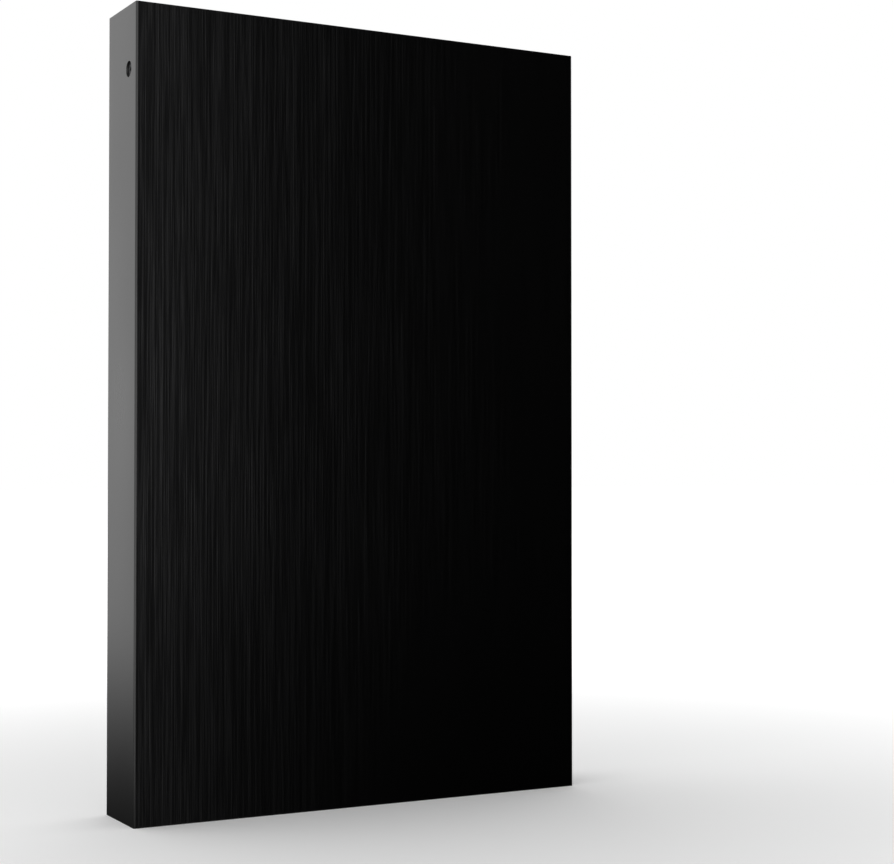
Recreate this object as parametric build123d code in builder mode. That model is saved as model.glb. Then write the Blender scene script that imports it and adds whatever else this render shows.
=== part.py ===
from build123d import *
import os
from math import acos, asin, cos, degrees, hypot, radians, sin

# Portable external hard drive: an extruded aluminium sleeve holds a moulded tray, which carries
# a 2.5-inch drive, its bridge board and the port. Millimetres, standing on the blind end.
# X is the width, Y the thickness with the brushed front at -Y, Z the length with the port on top.

os.makedirs("parts", exist_ok=True)

# Sleeve
sleeve_wall = 1.0
sleeve_edge_radius = 0.3
bore_corner_radius = 0.5
rim_chamfer = 0.15
panel_recess = 0.3

# Sleeve screws, one in each narrow side
sleeve_screw_from_front = 3.3
sleeve_screw_from_top = 9.4
sleeve_screw_head_radius = 1.1
sleeve_screw_head_height = 0.4
sleeve_screw_head_sink = 0.3
sleeve_screw_head_clearance = 0.07
sleeve_screw_shank_radius = 0.65
sleeve_screw_length = 4.05
sleeve_screw_hole_clearance = 0.1
cross_recess_length = 1.1
cross_recess_width = 0.28
cross_recess_depth = 0.45

# Tray
slide_clearance = 0.15
tray_wall = 1.0
tray_floor = 1.0
panel_thickness = 1.6
side_boss_width = 4.4
side_boss_reach = 3.0
board_boss_radius = 1.9
window_margin = 9.0
window_rib = 8.0
window_corner_radius = 3.0
drive_side_clearance = 0.425
port_bay = 15.0

# Port panel, hooked into the tray's open end
hook_width = 5.0
hook_thickness = 1.0
hook_boss_clearance = 1.0
catch_length = 1.0
catch_height = 0.6
catch_clearance = 0.1

# Soft packing
pad_thickness = 2.2
pad_margin_x = 9.0
pad_margin_z = 12.0
pad_corner_radius = 2.0
bumper_thickness = 1.0
bumper_margin = 8.0
bumper_width = 4.0

# Screw fits and other shared clearances
thread_clearance = 0.02
glue_clearance = 0.02
running_clearance = 0.03
hex_socket_depth = 0.25

# Drive: base casting and cover
shroud_clearance = 0.5
base_wall = 1.925
base_floor = 0.8
base_corner_radius = 1.5
bay_wall = 6.9
bay_clearance = 0.4
recess_wall = 1.2
rail_width = 1.8
bay_rail_inset = 0.45
rib_count = 5
rib_width = 1.2
cover_thickness = 0.6
cover_inset = 0.3
cover_press_depth = 0.15
cover_press_inset = 6.2
cover_press_radius = 4.0
gasket_thickness = 0.2
gasket_width = 0.9
gasket_inset = 0.3
cover_screw_inset = 3.4
cover_screw_head_radius = 1.7
cover_screw_head_height = 0.35
cover_screw_shank_radius = 0.7
cover_screw_length = 3.0
cover_screw_head_clearance = 0.15
mount_hole_radius = 1.25
mount_hole_depth = 2.2
mount_hole_height = 3.0
mount_hole_inset = 4.065
mount_hole_near_connector = 14.0
mount_hole_near_far_end = 9.6

# Drive board under the base
board_recess = 0.55
drive_board_thickness = 0.8
component_room = 0.85
chip_height = 0.75
drive_board_edge_clearance = 0.3
drive_board_far_edge = 8.0
motor_boss_radius = 15.0
board_post_radius = 1.8
board_post_inset = 3.4
drive_board_screw_head_radius = 1.4
drive_board_screw_head_height = 0.45
drive_board_screw_shank_radius = 0.6
drive_board_screw_length = 1.9
drive_board_screw_clearance = 0.15
controller_size = 14.0
controller_v = 38.0
driver_size = 8.0
memory_width = 10.0
memory_length = 8.0
side_chip_u = 16.0
side_chip_v = 25.0

# Platter, spindle and motor
platter_diameter = 65.0
platter_bore = 20.0
platter_thickness = 0.8
hub_flange_width = 2.0
hub_web_thickness = 0.8
rotor_wall = 1.4
rotor_magnet_thickness = 1.0
rotor_magnet_setback = 0.2
rotor_clearance = 0.3
well_clearance = 1.2
motor_floor = 1.4
bearing_floor = 0.5
shaft_radius = 1.5
bearing_radius = 3.2
bearing_boss_wall = 1.0
air_gap = 0.4
stator_poles = 9
stator_thickness = 0.8
stator_ring_width = 1.2
pole_width = 1.2
pole_shoe_depth = 0.7
pole_shoe_gap = 1.0
stator_shoulder = 0.6
coil_wrap = 0.35
clamp_thickness = 0.5
clamp_preload_gap = 0.1
clamp_screw_head_radius = 2.2
clamp_screw_head_height = 0.45
clamp_screw_shank_radius = 0.8
clamp_screw_length = 2.2
clamp_hole_clearance = 0.1
clamp_hole_circle = 7.5
clamp_hole_radius = 0.8
clamp_holes = 8

# Actuator
pivot_clearance = 1.0
block_radius = 5.0
head_setback = 5.0
pivot_angle = 6.0
park_overhang = 1.3
inner_head_clearance = 2.0
fly_clearance = 0.1
slider_height = 0.25
slider_length = 1.25
slider_width = 1.0
gimbal_height = 0.2
gimbal_size = 0.6
beam_thickness = 0.1
beam_root_overlap = 4.0
beam_tip_width = 0.9
lift_tab_length = 2.2
lift_tab_width = 0.5
arm_thickness = 0.45
arm_clearance = 0.2
arm_length = 21.0
arm_tip_radius = 2.1
arm_slot_length = 6.0
arm_slot_radius = 1.1
pivot_shaft_radius = 1.6
pivot_bearing_radius = 3.6
pivot_foot_radius = 2.4
pivot_end_play = 0.05

# Voice coil motor
coil_lean = 15.0
coil_inner_radius = 8.0
coil_outer_radius = 15.0
coil_half_angle = 20.0
coil_band = 2.0
coil_thickness = 0.9
coil_clearance = 0.25
coil_corner_radius = 0.8
holder_rim = 0.8
holder_side_angle = 4.0
yoke_thickness = 0.55
yoke_inner_gap = 1.8
yoke_rim = 0.6
magnet_margin = 0.8
magnet_half_angle = 34.0
stop_post_radius = 0.8
stop_sleeve_thickness = 0.6
stop_clearance = 0.15
stop_radius = 12.0
stop_margin = 0.9

# Ramp, flex circuit and filters
ramp_thickness = 0.25
ramp_platter_clearance = 0.15
ramp_overlap = 0.6
ramp_tail_angle = 4.5
ramp_side_clearance = 0.15
ramp_foot_length = 2.8
ramp_foot_half_angle = 3.0
ramp_foot_angle = -2.2
ramp_screw_head_radius = 0.9
ramp_screw_head_height = 0.3
ramp_screw_shank_radius = 0.5
ramp_screw_length = 3.7
ramp_screw_clearance = 0.1
bracket_platter_clearance = 3.0
bracket_width = 6.0
bracket_depth = 4.0
bracket_height = 2.8
bracket_angle = 45.0
ribbon_thickness = 0.15
ribbon_width = 2.0
ribbon_clearance = 0.3
ribbon_bow = 3.0
recirculation_filter_width = 9.0
recirculation_filter_thickness = 2.0
recirculation_filter_height = 2.6
recirculation_filter_setback = 2.6
recirculation_filter_clearance = 0.1
filter_angle = 45.0
breather_filter_width = 9.0
breather_filter_length = 6.5
breather_filter_height = 1.2
breather_filter_inset = 2.0
breather_filter_radius = 1.5

# Drive plug and board-side socket
contact_pitch = 1.27
signal_contacts = 7
power_contacts = 15
blade_margin = 1.4
blade_gap = 3.2
blade_thickness = 1.2
blade_height = 3.5
blade_key_width = 1.2
blade_key_depth = 0.6
connector_offset = 4.8
connector_depth = 8.98
connector_roof = 0.8
plug_set_back = 0.4
plug_body_depth = 2.8
plug_body_height = 1.5
plug_ear_width = 1.8
plug_ear_clearance = 0.4
plug_side_clearance = 0.6
blade_tip_set_back = 0.3
contact_width = 0.6
contact_thickness = 0.1
contact_tip_margin = 0.5
socket_height = 3.2
socket_wall = 0.8
socket_length = 9.6
socket_clearance = 0.15
socket_face_clearance = 0.4
socket_contact_thickness = 0.2
socket_contact_clearance = 0.1

# Bridge board and what it carries
bridge_board_thickness = 1.0
bridge_board_inset = 6.0
bridge_board_drive_clearance = 1.0
bridge_board_panel_clearance = 0.8
bridge_corner_radius = 1.0
board_screw_inset = 4.0
board_screw_from_panel = 7.0
board_screw_head_radius = 1.6
board_screw_head_height = 0.9
board_screw_shank_radius = 0.8
board_screw_length = 2.6
board_screw_hole_clearance = 0.15
bridge_chip_size = 6.0
bridge_chip_height = 0.85
bridge_chip_x = -14.0
crystal_length = 3.2
crystal_width = 2.5
crystal_height = 0.7
crystal_corner_radius = 0.4
crystal_x = -20.0
inductor_size = 4.0
inductor_height = 1.8
inductor_corner_radius = 0.8
inductor_x = 20.0
capacitor_length = 1.6
capacitor_width = 0.8
capacitor_height = 0.8
capacitor_spacing = 1.8
capacitor_count = 4
capacitor_x = 13.5
component_row_from_panel = 7.0

# Port
port_x = 0.0
port_main_width = 7.2
port_side_width = 4.3
port_neck = 0.6
port_height = 2.0
port_chamfer = 0.7
port_neck_height = 1.0
jacket_thickness = 0.25
jacket_depth = 7.0
jacket_set_back = 0.4
jacket_foot_width = 0.9
jacket_foot_length = 1.6
jacket_foot_from_back = 1.2
aperture_clearance = 0.25
aperture_corner_radius = 0.6
aperture_lead_in = 0.3
insulator_back = 1.6
insulator_clearance = 0.02
tongue_thickness = 0.6
tongue_side_gap = 0.9
tongue_set_back = 0.8
port_contact_count = 5
port_contact_width = 0.3
port_contact_thickness = 0.08
port_contact_tip_margin = 0.4

# Status lamp
lamp_x = 10.5
lamp_width = 1.6
lamp_height = 1.2
lamp_depth = 0.8
pipe_radius = 0.8
pipe_flange_radius = 1.2
pipe_flange_thickness = 0.6
pipe_clearance = 0.05
pipe_lamp_gap = 0.1

# Drive plan sizes
platter_radius = platter_diameter / 2
chamber_radius = platter_radius + shroud_clearance
drive_width = 2 * (chamber_radius + base_wall)
clamp_radius = platter_bore / 2 + hub_flange_width
pivot_distance = platter_radius + pivot_clearance + block_radius
pivot_u = pivot_distance * sin(radians(pivot_angle))
pivot_v = pivot_distance * cos(radians(pivot_angle))
head_reach = pivot_distance - head_setback
tab_end = head_reach + lift_tab_length


def sweep_angle(reach, radius):
    """Angle at the pivot from the spindle to a point of the arm that lies over a disk radius."""
    squares = pivot_distance**2 + reach**2 - radius**2
    return degrees(acos(squares / (2 * pivot_distance * reach)))


park_angle = sweep_angle(head_reach, platter_radius + park_overhang)
swing = park_angle - sweep_angle(head_reach, clamp_radius + inner_head_clearance)
arm_direction = 270 - pivot_angle - park_angle
coil_direction = 90 - coil_lean - swing / 2
yoke_direction = 90 - coil_lean
holder_half_angle = coil_half_angle + holder_side_angle
holder_radius = coil_outer_radius + holder_rim
yoke_radius = holder_radius + yoke_rim
stop_sleeve_radius = stop_post_radius + stop_sleeve_thickness
stop_angle = (
    holder_half_angle
    + swing / 2
    + degrees(asin((stop_sleeve_radius + stop_clearance) / stop_radius))
)
yoke_half_angle = stop_angle + degrees(asin((stop_sleeve_radius + stop_margin) / stop_radius))

# Drive plan, measured from the spindle towards the connector end
bay_end = pivot_v + yoke_radius + bay_clearance
bay_half_width = drive_width / 2 - bay_wall
recess_start = bay_end + recess_wall
drive_end = recess_start + connector_depth
drive_length = drive_width / 2 + drive_end
drive_middle_v = (drive_end - drive_width / 2) / 2
pocket_half_width = bay_half_width + bay_rail_inset
bracket_radius = platter_radius + bracket_platter_clearance + bracket_depth / 2
filter_slot_end = chamber_radius + recirculation_filter_setback + recirculation_filter_thickness
cover_screw_u = drive_width / 2 - cover_screw_inset
cover_screw_rows = (
    cover_screw_inset - drive_width / 2,
    chamber_radius + cover_screw_inset,
    drive_end - cover_screw_inset,
)
cover_screw_places = [(side * cover_screw_u, v) for v in cover_screw_rows for side in (-1, 1)]
board_post_u = pocket_half_width - board_post_inset
board_post_rows = (drive_board_far_edge + board_post_inset, recess_start - board_post_inset)
board_post_places = [(side * board_post_u, v) for v in board_post_rows for side in (-1, 1)]
signal_width = (signal_contacts - 1) * contact_pitch + 2 * blade_margin
power_width = (power_contacts - 1) * contact_pitch + 2 * blade_margin
blades_width = signal_width + blade_gap + power_width
socket_width = blades_width + 2 * socket_wall
plug_width = socket_width + 2 * (plug_ear_clearance + plug_ear_width)
recess_width = plug_width + 2 * plug_side_clearance
plug_back = recess_start + plug_set_back
blade_root = plug_back + plug_body_depth
blade_tip = drive_end - blade_tip_set_back
signal_centre = connector_offset - blades_width / 2 + signal_width / 2
power_centre = connector_offset + blades_width / 2 - power_width / 2
socket_start = blade_root + socket_face_clearance
slot_depth = blade_tip - socket_start + socket_clearance
contact_places = [
    centre + (number - (count - 1) / 2) * contact_pitch
    for centre, count in ((signal_centre, signal_contacts), (power_centre, power_contacts))
    for number in range(count)
]

# Drive levels, measured from its board side towards its cover
board_top_level = board_recess + drive_board_thickness
pocket_level = board_top_level + component_room
floor_level = pocket_level + base_floor
half_chamber = (
    platter_thickness / 2
    + fly_clearance
    + slider_height
    + gimbal_height
    + beam_thickness
    + arm_thickness
    + arm_clearance
)
disk_level = floor_level + half_chamber
cover_level = floor_level + 2 * half_chamber
rim_level = cover_level - gasket_thickness
drive_height = cover_level + cover_thickness
flange_level = disk_level - platter_thickness / 2
web_level = flange_level - hub_web_thickness
clamp_level = disk_level + platter_thickness / 2
recess_roof_level = cover_level - connector_roof
cover_screw_seat = drive_height - cover_screw_head_height
arm_bottom = floor_level + arm_clearance
arm_top = cover_level - arm_clearance
magnet_level = floor_level + yoke_thickness
coil_level = disk_level - coil_thickness / 2
upper_yoke_level = coil_level + coil_thickness + coil_clearance
ramp_bottom_level = flange_level - ramp_platter_clearance - ramp_thickness
ramp_top_level = clamp_level + ramp_platter_clearance + ramp_thickness
rotor_bottom = motor_floor + rotor_clearance
stator_level = (motor_floor + web_level - stator_thickness) / 2

# Radii round the spindle and the pivot
rotor_cup_radius = clamp_radius - rotor_wall
stator_radius = rotor_cup_radius - rotor_magnet_thickness - air_gap
stator_bore = bearing_radius + bearing_boss_wall
stator_ring_radius = stator_bore + stator_ring_width
bearing_seat_radius = pivot_bearing_radius + glue_clearance
yoke_inner_radius = block_radius + yoke_inner_gap
ramp_inner_reach = head_reach + slider_length / 2 + ramp_side_clearance
ramp_foot_reach = tab_end + ramp_side_clearance
ramp_screw_reach = ramp_foot_reach + ramp_foot_length / 2
ramp_middle_reach = (ramp_inner_reach + tab_end) / 2
ramp_over_angle = park_angle - sweep_angle(ramp_middle_reach, platter_radius - ramp_overlap)

# Enclosure sizes, worked out from the drive outwards
tray_width = drive_width + 2 * (drive_side_clearance + tray_wall)
tray_depth = tray_floor + drive_height + pad_thickness
bore_width = tray_width + 2 * slide_clearance
bore_thickness = tray_depth + 2 * slide_clearance
sleeve_width = bore_width + 2 * sleeve_wall
sleeve_thickness = bore_thickness + 2 * sleeve_wall
tray_bottom_z = panel_recess
bay_bottom_z = tray_bottom_z + panel_thickness
drive_bottom_z = bay_bottom_z + bumper_thickness
spindle_z = drive_bottom_z + drive_width / 2
drive_top_z = spindle_z + drive_end
panel_z = drive_top_z + port_bay
tray_length = panel_z - tray_bottom_z
panel_top_z = panel_z + panel_thickness
sleeve_length = panel_top_z + panel_recess
tray_back_y = tray_depth / 2
drive_back_y = tray_back_y - tray_floor
drive_front_y = drive_back_y - drive_height
tray_front_y = -tray_depth / 2
sleeve_screw_y = sleeve_screw_from_front - sleeve_thickness / 2
sleeve_screw_z = sleeve_length - sleeve_screw_from_top
side_boss_top_z = sleeve_screw_z + side_boss_width / 2
bay_side_x = tray_width / 2 - tray_wall
hook_tip_z = side_boss_top_z + hook_boss_clearance
hook_outer_x = bay_side_x - glue_clearance

# Bridge board places
board_front_y = drive_back_y - blade_height + socket_height / 2
board_back_y = board_front_y + bridge_board_thickness
bridge_board_width = drive_width - 2 * bridge_board_inset
bridge_bottom_z = drive_top_z + bridge_board_drive_clearance
bridge_top_z = panel_z - bridge_board_panel_clearance
board_screw_x = bridge_board_width / 2 - board_screw_inset
board_screw_z = panel_z - board_screw_from_panel
component_z = panel_z - component_row_from_panel
port_width = port_main_width + port_neck + port_side_width
jacket_height = port_height + 2 * jacket_thickness
port_y = board_front_y - jacket_height / 2
mouth_z = panel_top_z - jacket_set_back
jacket_back_z = mouth_z - jacket_depth
lamp_y = board_front_y - lamp_height / 2
blade_y = drive_back_y - blade_height
tongue_root_z = jacket_back_z + jacket_thickness + insulator_back
port_main_x = (port_main_width - port_width) / 2
port_side_x = (port_width - port_side_width) / 2
port_tongues = (
    (port_main_x, port_main_width - 2 * tongue_side_gap),
    (port_side_x, port_side_width - 2 * tongue_side_gap),
)


def facing(y, x=0.0, z=0.0):
    """Plane parallel to the wide faces: a sketch on it reads X and Z and extrudes towards the front."""
    return Plane(origin=(x, y, z), x_dir=(1, 0, 0), z_dir=(0, -1, 0))


def across(z, x=0.0, y=0.0):
    """Plane square to the length: a sketch on it reads X and Y and extrudes upwards."""
    return Plane(origin=(x, y, z), x_dir=(1, 0, 0), z_dir=(0, 0, 1))


def drive_level(level, u=0.0, v=0.0):
    """Plane at a level of the drive, centred on the spindle or a point measured from it."""
    return facing(drive_back_y - level, u, spindle_z + v)


def polar_level(level, radius, angle):
    """Plane at a level of the drive, at a polar place round the spindle and turned to face outwards."""
    turn = radians(angle)
    place = (radius * cos(turn), drive_back_y - level, spindle_z + radius * sin(turn))
    return Plane(origin=place, x_dir=(cos(turn), 0, sin(turn)), z_dir=(0, -1, 0))


def pivot_level(level, direction):
    """Plane at a level of the drive, centred on the pivot with its x axis turned to a direction."""
    turn = radians(direction)
    place = (pivot_u, drive_back_y - level, spindle_z + pivot_v)
    return Plane(origin=place, x_dir=(cos(turn), 0, sin(turn)), z_dir=(0, -1, 0))


def ring_slice(inner, outer, start, end):
    """Adds the slice of a ring between two radii and two angles to the open sketch."""
    with BuildLine() as outline:
        CenterArc((0, 0), outer, start, end - start)
        CenterArc((0, 0), inner, start, end - start)
        for angle in (start, end):
            turn = radians(angle)
            Line((inner * cos(turn), inner * sin(turn)), (outer * cos(turn), outer * sin(turn)))
    make_face(outline.edges())


def chamber_outline():
    """Adds the plan of the drive's chamber, from the spindle, to the open sketch."""
    Circle(chamber_radius)
    with Locations((0, chamber_radius / 2)):
        Rectangle(2 * chamber_radius, chamber_radius)
    with Locations((0, bay_end / 2)):
        Rectangle(2 * bay_half_width, bay_end)
    with PolarLocations(filter_slot_end / 2, 1, start_angle=-filter_angle):
        slot_width = recirculation_filter_width + 2 * recirculation_filter_clearance
        Rectangle(filter_slot_end, slot_width)


def blade_outlines():
    """Adds the plug's two keyed blades to the open sketch, seen along the length."""
    for side, centre, width in ((-1, signal_centre, signal_width), (1, power_centre, power_width)):
        with Locations((centre, blade_y)):
            Rectangle(width, blade_thickness)
        key_x = centre + side * (width - blade_key_width) / 2
        with Locations((key_x, blade_y + (blade_thickness + blade_key_depth) / 2)):
            Rectangle(blade_key_width, blade_key_depth)


def coil_outline():
    """Adds the voice coil's outer edge to the open sketch."""
    with BuildSketch(mode=Mode.PRIVATE) as slice_sketch:
        ring_slice(coil_inner_radius, coil_outer_radius, -coil_half_angle, coil_half_angle)
        fillet(slice_sketch.vertices(), coil_corner_radius)
    add(slice_sketch.sketch)


def port_outline():
    """Adds the port's opening to the open sketch: a chamfered bay and a plain bay joined by a neck."""
    with BuildSketch(mode=Mode.PRIVATE) as main_bay:
        Rectangle(port_main_width, port_height)
        chamfer(main_bay.vertices().group_by(Axis.Y)[0], port_chamfer)
    with Locations((port_main_x, 0)):
        add(main_bay.sketch)
    with Locations((port_side_x, 0)):
        Rectangle(port_side_width, port_height)
    with Locations((port_width / 2 - port_side_width - port_neck / 2, 0)):
        Rectangle(2 * port_neck, port_neck_height)


def block(plane, width, height, amount, radius=0.0, mode=Mode.ADD):
    """Extrudes a rectangle, rounded where a radius is given, from a plane."""
    with BuildSketch(plane) as outline:
        if radius:
            RectangleRounded(width, height, radius)
        else:
            Rectangle(width, height)
    extrude(outline.sketch, amount=amount, mode=mode)


def disc(plane, radius, amount, mode=Mode.ADD):
    """Extrudes a circle from a plane."""
    with BuildSketch(plane) as outline:
        Circle(radius)
    extrude(outline.sketch, amount=amount, mode=mode)


def tube(plane, inner, outer, amount):
    """Extrudes a ring from a plane."""
    with BuildSketch(plane) as outline:
        Circle(outer)
        Circle(inner, mode=Mode.SUBTRACT)
    extrude(outline.sketch, amount=amount)


def flat_head_screw(seat, head_radius, head_height, shank_radius, length):
    """Adds a screw with a cylindrical head on the seat plane and its shank behind that plane."""
    disc(seat, shank_radius, -length)
    disc(seat, head_radius, head_height)
    with BuildSketch(seat.offset(head_height)) as socket:
        RegularPolygon(shank_radius, 6)
    extrude(socket.sketch, amount=-hex_socket_depth, mode=Mode.SUBTRACT)


def finish(piece, name):
    """Labels a piece and writes it."""
    piece.part.label = name
    export_step(piece.part, f"parts/{name}.step")


# Extruded sleeve, open at both ends, with a counterbored hole in each narrow side
with BuildPart() as sleeve:
    with BuildSketch():
        RectangleRounded(sleeve_width, sleeve_thickness, sleeve_edge_radius)
        RectangleRounded(bore_width, bore_thickness, bore_corner_radius, mode=Mode.SUBTRACT)
    extrude(amount=sleeve_length)
    rims = sleeve.faces().filter_by(Axis.Z)
    chamfer([edge for rim in rims for edge in rim.outer_wire().edges()], rim_chamfer)
    for side in (-1, 1):
        with Locations(
            Plane(origin=(side * sleeve_width / 2, sleeve_screw_y, sleeve_screw_z), z_dir=(side, 0, 0))
        ):
            CounterBoreHole(
                sleeve_screw_shank_radius + sleeve_screw_hole_clearance,
                sleeve_screw_head_radius + sleeve_screw_head_clearance,
                sleeve_screw_head_sink + sleeve_screw_head_height,
                depth=2 * sleeve_wall,
            )
finish(sleeve, "sleeve")

# Tray: floor with windows, side walls with a slot for each hook, and a blind panel below
with BuildPart() as tray:
    tray_middle_z = tray_bottom_z + tray_length / 2
    block(facing(tray_back_y, 0, tray_middle_z), tray_width, tray_length, tray_depth)
    fillet(tray.edges().filter_by(Axis.Z), bore_corner_radius)
    bay_length = panel_z - bay_bottom_z
    block(
        facing(drive_back_y, 0, bay_bottom_z + bay_length / 2),
        tray_width - 2 * tray_wall,
        bay_length,
        tray_depth,
        mode=Mode.SUBTRACT,
    )
    window_width = drive_width - 2 * window_margin
    window_length = (drive_length - 2 * window_margin - window_rib) / 2
    for row in (-1, 1):
        window_z = (drive_bottom_z + drive_top_z) / 2 + row * (window_length + window_rib) / 2
        block(
            facing(tray_back_y, 0, window_z),
            window_width,
            window_length,
            tray_floor,
            window_corner_radius,
            Mode.SUBTRACT,
        )
    for side in (-1, 1):
        with BuildSketch(across(sleeve_screw_z - side_boss_width / 2)):
            boss_depth = 2 * (sleeve_screw_y - tray_front_y)
            with Locations((side * (bay_side_x - side_boss_reach / 2), sleeve_screw_y)):
                Rectangle(side_boss_reach, boss_depth)
        extrude(amount=side_boss_width)
        hole_start = Plane(
            origin=(side * tray_width / 2, sleeve_screw_y, sleeve_screw_z), z_dir=(-side, 0, 0)
        )
        disc(
            hole_start,
            sleeve_screw_shank_radius + thread_clearance,
            tray_wall + side_boss_reach,
            Mode.SUBTRACT,
        )
        board_post = facing(drive_back_y, side * board_screw_x, board_screw_z)
        disc(board_post, board_boss_radius, drive_back_y - board_back_y)
        disc(
            facing(board_back_y, side * board_screw_x, board_screw_z),
            board_screw_shank_radius + thread_clearance,
            bridge_board_thickness - board_screw_length - thread_clearance,
            Mode.SUBTRACT,
        )
        catch_middle = (side * tray_width / 2, 0, hook_tip_z + catch_length / 2)
        block(
            Plane(origin=catch_middle, x_dir=(0, 0, 1), z_dir=(-side, 0, 0)),
            catch_length + 2 * catch_clearance,
            hook_width + 2 * catch_clearance,
            tray_wall,
            mode=Mode.SUBTRACT,
        )
finish(tray, "tray")

# Port panel: the upper end, with the port's opening, the lamp's hole and a hook at each side
with BuildPart() as port_panel:
    block(across(panel_z), tray_width, tray_depth, panel_thickness)
    fillet(port_panel.edges().filter_by(Axis.Z), bore_corner_radius)
    block(
        across(panel_z, port_x, port_y),
        port_width + 2 * (jacket_thickness + aperture_clearance),
        jacket_height + 2 * aperture_clearance,
        panel_thickness,
        aperture_corner_radius,
        Mode.SUBTRACT,
    )
    chamfer(port_panel.faces().sort_by(Axis.Z)[-1].inner_wires().edges(), aperture_lead_in)
    disc(across(panel_z, lamp_x, lamp_y), pipe_radius + pipe_clearance, panel_thickness, Mode.SUBTRACT)
    for side in (-1, 1):
        hook_x = side * (hook_outer_x - hook_thickness / 2)
        block(across(hook_tip_z, hook_x), hook_thickness, hook_width, panel_z - hook_tip_z)
        catch_x = side * (hook_outer_x + catch_height / 2)
        block(across(hook_tip_z, catch_x), catch_height, hook_width, catch_length)
finish(port_panel, "port_panel")

# Sleeve screws, with a cross recess in each flat head
with BuildPart() as sleeve_screws:
    for side in (-1, 1):
        head_x = side * (sleeve_width / 2 - sleeve_screw_head_sink)
        with Locations(Plane(origin=(head_x, sleeve_screw_y, sleeve_screw_z), z_dir=(-side, 0, 0))):
            upwards = (Align.CENTER, Align.CENTER, Align.MIN)
            Cylinder(sleeve_screw_head_radius, sleeve_screw_head_height, align=upwards)
            Cylinder(sleeve_screw_shank_radius, sleeve_screw_length, align=upwards)
            for turn in (0, 90):
                Box(
                    cross_recess_length,
                    cross_recess_width,
                    cross_recess_depth,
                    rotation=(0, 0, turn),
                    align=upwards,
                    mode=Mode.SUBTRACT,
                )
finish(sleeve_screws, "sleeve_screws")

# Foam pad between the drive's cover and the sleeve
with BuildPart() as foam_pad:
    block(
        facing(drive_front_y, 0, (drive_bottom_z + drive_top_z) / 2),
        drive_width - 2 * pad_margin_x,
        drive_length - 2 * pad_margin_z,
        pad_thickness,
        pad_corner_radius,
    )
finish(foam_pad, "foam_pad")

# Rubber bumper between the blind panel and the drive
with BuildPart() as end_bumper:
    block(
        across(bay_bottom_z, 0, (drive_back_y + drive_front_y) / 2),
        drive_width - 2 * bumper_margin,
        bumper_width,
        bumper_thickness,
    )
    fillet(end_bumper.edges().filter_by(Axis.Z), bumper_thickness)
finish(end_bumper, "end_bumper")

# Base casting: disk chamber and actuator bay on one side, board pocket with ribs on the other
with BuildPart() as drive_base:
    block(drive_level(0, 0, drive_middle_v), drive_width, drive_length, rim_level, base_corner_radius)
    with BuildSketch(drive_level(floor_level)):
        chamber_outline()
    extrude(amount=rim_level - floor_level, mode=Mode.SUBTRACT)
    disc(
        drive_level(motor_floor),
        clamp_radius + well_clearance,
        floor_level - motor_floor,
        Mode.SUBTRACT,
    )
    boss_height = stator_level - motor_floor
    tube(drive_level(motor_floor), bearing_radius, stator_bore, boss_height + stator_thickness)
    tube(drive_level(motor_floor), bearing_radius, stator_bore + stator_shoulder, boss_height)
    disc(drive_level(bearing_floor), bearing_radius, motor_floor - bearing_floor, Mode.SUBTRACT)
    with BuildSketch(drive_level(0)):
        Circle(chamber_radius - rail_width)
        with Locations((0, recess_start / 2)):
            Rectangle(2 * pocket_half_width, recess_start)
        Circle(motor_boss_radius, mode=Mode.SUBTRACT)
        for rib in range(rib_count):
            rib_angle = 180 + 180 * (rib + 1) / (rib_count + 1)
            with PolarLocations(chamber_radius / 2, 1, start_angle=rib_angle):
                Rectangle(chamber_radius, rib_width, mode=Mode.SUBTRACT)
    extrude(amount=pocket_level, mode=Mode.SUBTRACT)
    block(
        drive_level(0, connector_offset, (recess_start + drive_end) / 2),
        recess_width,
        connector_depth,
        recess_roof_level,
        mode=Mode.SUBTRACT,
    )
    for u, v in board_post_places:
        disc(drive_level(board_top_level, u, v), board_post_radius, component_room)
        post_hole = drive_board_screw_length - drive_board_thickness + thread_clearance
        disc(
            drive_level(board_top_level, u, v),
            drive_board_screw_shank_radius + thread_clearance,
            post_hole,
            Mode.SUBTRACT,
        )
    for u, v in cover_screw_places:
        hole_depth = cover_screw_seat - cover_screw_length - rim_level - thread_clearance
        disc(
            drive_level(rim_level, u, v),
            cover_screw_shank_radius + thread_clearance,
            hole_depth,
            Mode.SUBTRACT,
        )
    for side in (-1, 1):
        for v in (drive_end - mount_hole_near_connector, mount_hole_near_far_end - drive_width / 2):
            side_hole = Plane(
                origin=(side * drive_width / 2, drive_back_y - mount_hole_height, spindle_z + v),
                z_dir=(-side, 0, 0),
            )
            disc(side_hole, mount_hole_radius, mount_hole_depth, Mode.SUBTRACT)
            foot_u = side * (drive_width / 2 - mount_hole_inset)
            disc(drive_level(0, foot_u, v), mount_hole_radius, mount_hole_depth, Mode.SUBTRACT)
    ramp_hole_depth = ramp_screw_length - (ramp_top_level - floor_level) + thread_clearance
    with BuildSketch(pivot_level(floor_level, arm_direction)):
        with PolarLocations(ramp_screw_reach, 1, start_angle=ramp_foot_angle):
            Circle(ramp_screw_shank_radius + thread_clearance)
    extrude(amount=-ramp_hole_depth, mode=Mode.SUBTRACT)
finish(drive_base, "drive_base")

# Rubber gasket round the chamber, between the casting's rim and the cover
with BuildPart() as cover_gasket:
    with BuildSketch(drive_level(rim_level)):
        chamber_outline()
        offset(amount=gasket_inset + gasket_width)
    extrude(amount=gasket_thickness)
    with BuildSketch(drive_level(rim_level)):
        chamber_outline()
        offset(amount=gasket_inset)
    extrude(amount=gasket_thickness, mode=Mode.SUBTRACT)
finish(cover_gasket, "cover_gasket")

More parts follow.
